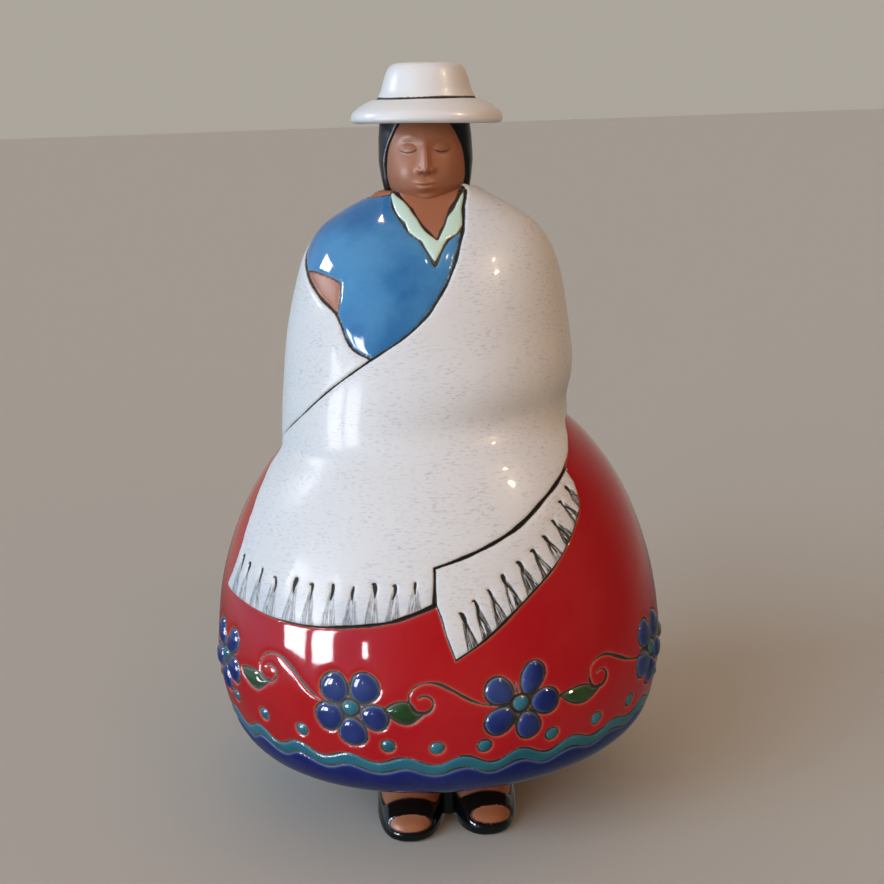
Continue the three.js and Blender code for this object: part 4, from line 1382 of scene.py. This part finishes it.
glaze("skin", colour(0.33, 0.118, 0.056), colour(0.42, 0.16, 0.08), rim=0, roughness=0.42, specular=0.35,
      line_colour=colour(0.05, 0.018, 0.010), worn_colour=colour(0.07, 0.03, 0.02), pores=0.12)
print("glazes:", len(materials))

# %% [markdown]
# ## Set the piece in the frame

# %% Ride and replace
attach(figurine, "root")
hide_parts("figurine")

# %% [markdown]
# ## Floor, light and camera
#
# A pale floor and soft lamps, as on a studio table: a cool window from the front left, a warm
# lamp from the right, and a pale sky all round. The camera stands where the photograph's did,
# about 61 cm away and about as high as the hat, looking down by 12 degrees.

# %% Floor
floor_mesh = bpy.data.meshes.new("floor")
FLOOR_HALF = 20.0
corners = FLOOR_HALF * np.array([[-1, -1, 0], [1, -1, 0], [1, 1, 0], [-1, 1, 0]])
floor_mesh.from_pydata(corners, [], [(0, 1, 2, 3)])
floor = bpy.data.objects.new("floor", floor_mesh)
bpy.context.scene.collection.objects.link(floor)
floor_material = bpy.data.materials.new("pale floor")
floor_material.use_nodes = True
floor_shader = floor_material.node_tree.nodes["Principled BSDF"]
floor_shader.inputs["Base Color"].default_value = colour(0.53, 0.51, 0.465)
floor_shader.inputs["Roughness"].default_value = 1.0
floor_shader.inputs["Specular IOR Level"].default_value = 0.0
floor_mesh.materials.append(floor_material)
floor.visible_glossy = False

# %% Sky and lamps
world = bpy.data.worlds.new("pale room")
bpy.context.scene.world = world
world.use_nodes = True
room = Value(world.node_tree)
direction = room.add("ShaderNodeTexCoord", {}, {}, "Generated")


def towards(x, y, z):
    """How far a direction of the room points along (x, y, z)."""
    return room.add("ShaderNodeVectorMath", {"operation": "DOT_PRODUCT"},
                    {0: direction, 1: (x, y, z)}, "Value")


wall, dim_side, window_side = colour(0.41, 0.38, 0.33), colour(0.10, 0.08, 0.065), colour(0.38, 0.54, 0.76)
below = colour(0.11, 0.115, 0.11)
walls = towards(0.55, -0.83, 0.0).step(-0.55, 0.35).blend(wall, dim_side)
walls = towards(-1.0, -0.2, 0.0).step(0.35, 0.95).blend(walls, window_side)
room_colour = towards(0.0, 0.0, -1.0).step(0.12, 0.3).blend(walls, below)
background = world.node_tree.nodes["Background"]
world.node_tree.links.new(room_colour.socket, background.inputs["Color"])
background.inputs["Strength"].default_value = 1.0


def lamp(name, place, size, power, tint, aim=(0, 0, 0.15)):
    """A rectangular area light at `place`, in metres, turned towards `aim`."""
    light = bpy.data.lights.new(name, "AREA")
    light.shape, light.size, light.size_y = "RECTANGLE", size[0], size[1]
    light.energy, light.color = power, tint
    piece = bpy.data.objects.new(name, light)
    bpy.context.scene.collection.objects.link(piece)
    ahead = np.array(aim) - place
    ahead /= np.linalg.norm(ahead)
    side = np.cross(ahead, [0, 0, 1])
    side /= np.linalg.norm(side)
    turn = np.stack([side, np.cross(side, ahead), -ahead], -1)
    matrix = np.eye(4)
    matrix[:3, :3], matrix[:3, 3] = turn, place
    piece.matrix_world = Matrix(matrix)
    return piece


WINDOW_TINT, LAMP_TINT = (0.90, 0.92, 1.0), (1.0, 0.72, 0.44)
for name, place, size, power, tint in (
        ("left pane", (-0.60, -0.23, 0.14), (0.14, 0.25), 2.6, WINDOW_TINT),
        ("right pane", (-0.50, -0.37, 0.14), (0.12, 0.25), 2.4, WINDOW_TINT),
        ("high window", (-0.60, 0.10, 0.50), (0.14, 0.18), 2.2, WINDOW_TINT),
        ("small pane", (-0.40, -0.62, 0.08), (0.03, 0.04), 0.12, WINDOW_TINT),
        ("upper warm lamp", (0.635, -0.33, 1.0), (0.045, 0.04), 4.0, LAMP_TINT),
        ("lower warm lamp", (0.66, -0.42, 0.82), (0.045, 0.04), 4.0, LAMP_TINT),
        ("front ceiling lamp", (0.147, -0.335, 1.17), (0.03, 0.02), 0.7, LAMP_TINT),
        ("back ceiling lamp", (-0.27, 0.19, 1.18), (0.03, 0.02), 0.7, LAMP_TINT)):
    lamp(name, place, size, power, tint, aim=(0, 0, 0.12)).visible_diffuse = False


def daylight(name, ahead, strength, spread, tint):
    """Even light from one side, as from a bright wall; too wide to show in the glaze."""
    light = bpy.data.lights.new(name, "SUN")
    light.energy, light.angle, light.color = strength, math.radians(spread), tint
    piece = bpy.data.objects.new(name, light)
    bpy.context.scene.collection.objects.link(piece)
    piece.rotation_euler = Vector(ahead).to_track_quat("-Z", "Y").to_euler()
    piece.visible_glossy = False


daylight("window side", (0.69, 0.68, -0.28), 3.1, 55, (0.63, 0.80, 0.97))
daylight("warm side", (-0.25, 0.90, -0.35), 0.8, 50, (1.0, 0.60, 0.30))
daylight("ceiling", (-0.45, 0.40, -1.0), 0.6, 80, (1.0, 0.58, 0.32))

# %% Camera
CAMERA_PLACE = np.array([4.0, -610, 285])
PITCH = math.radians(12.45)
ROLL = math.radians(2.0)
PIXELS = 884
FOCAL_PIXELS = 1540
SENSOR = 36.0
forward = np.array([0, math.cos(PITCH), -math.sin(PITCH)])
right = np.array([1.0, 0, 0])
up = np.array([0, math.sin(PITCH), math.cos(PITCH)])
image_right = math.cos(ROLL) * right - math.sin(ROLL) * up
image_up = math.sin(ROLL) * right + math.cos(ROLL) * up
camera_data = bpy.data.cameras.new("camera")
camera_data.sensor_width = SENSOR
camera_data.lens = FOCAL_PIXELS * SENSOR / PIXELS
camera_data.clip_start = 0.01
camera = bpy.data.objects.new("camera", camera_data)
bpy.context.scene.collection.objects.link(camera)
camera_matrix = np.eye(4)
camera_matrix[:3, :3] = np.stack([image_right, image_up, -forward], -1)
camera_matrix[:3, 3] = (CAMERA_PLACE + shift) / 1000
camera.matrix_world = Matrix(camera_matrix)
bpy.context.scene.camera = camera
bpy.context.scene.view_settings.view_transform = "Standard"
print("lens, mm:", round(camera_data.lens, 1))
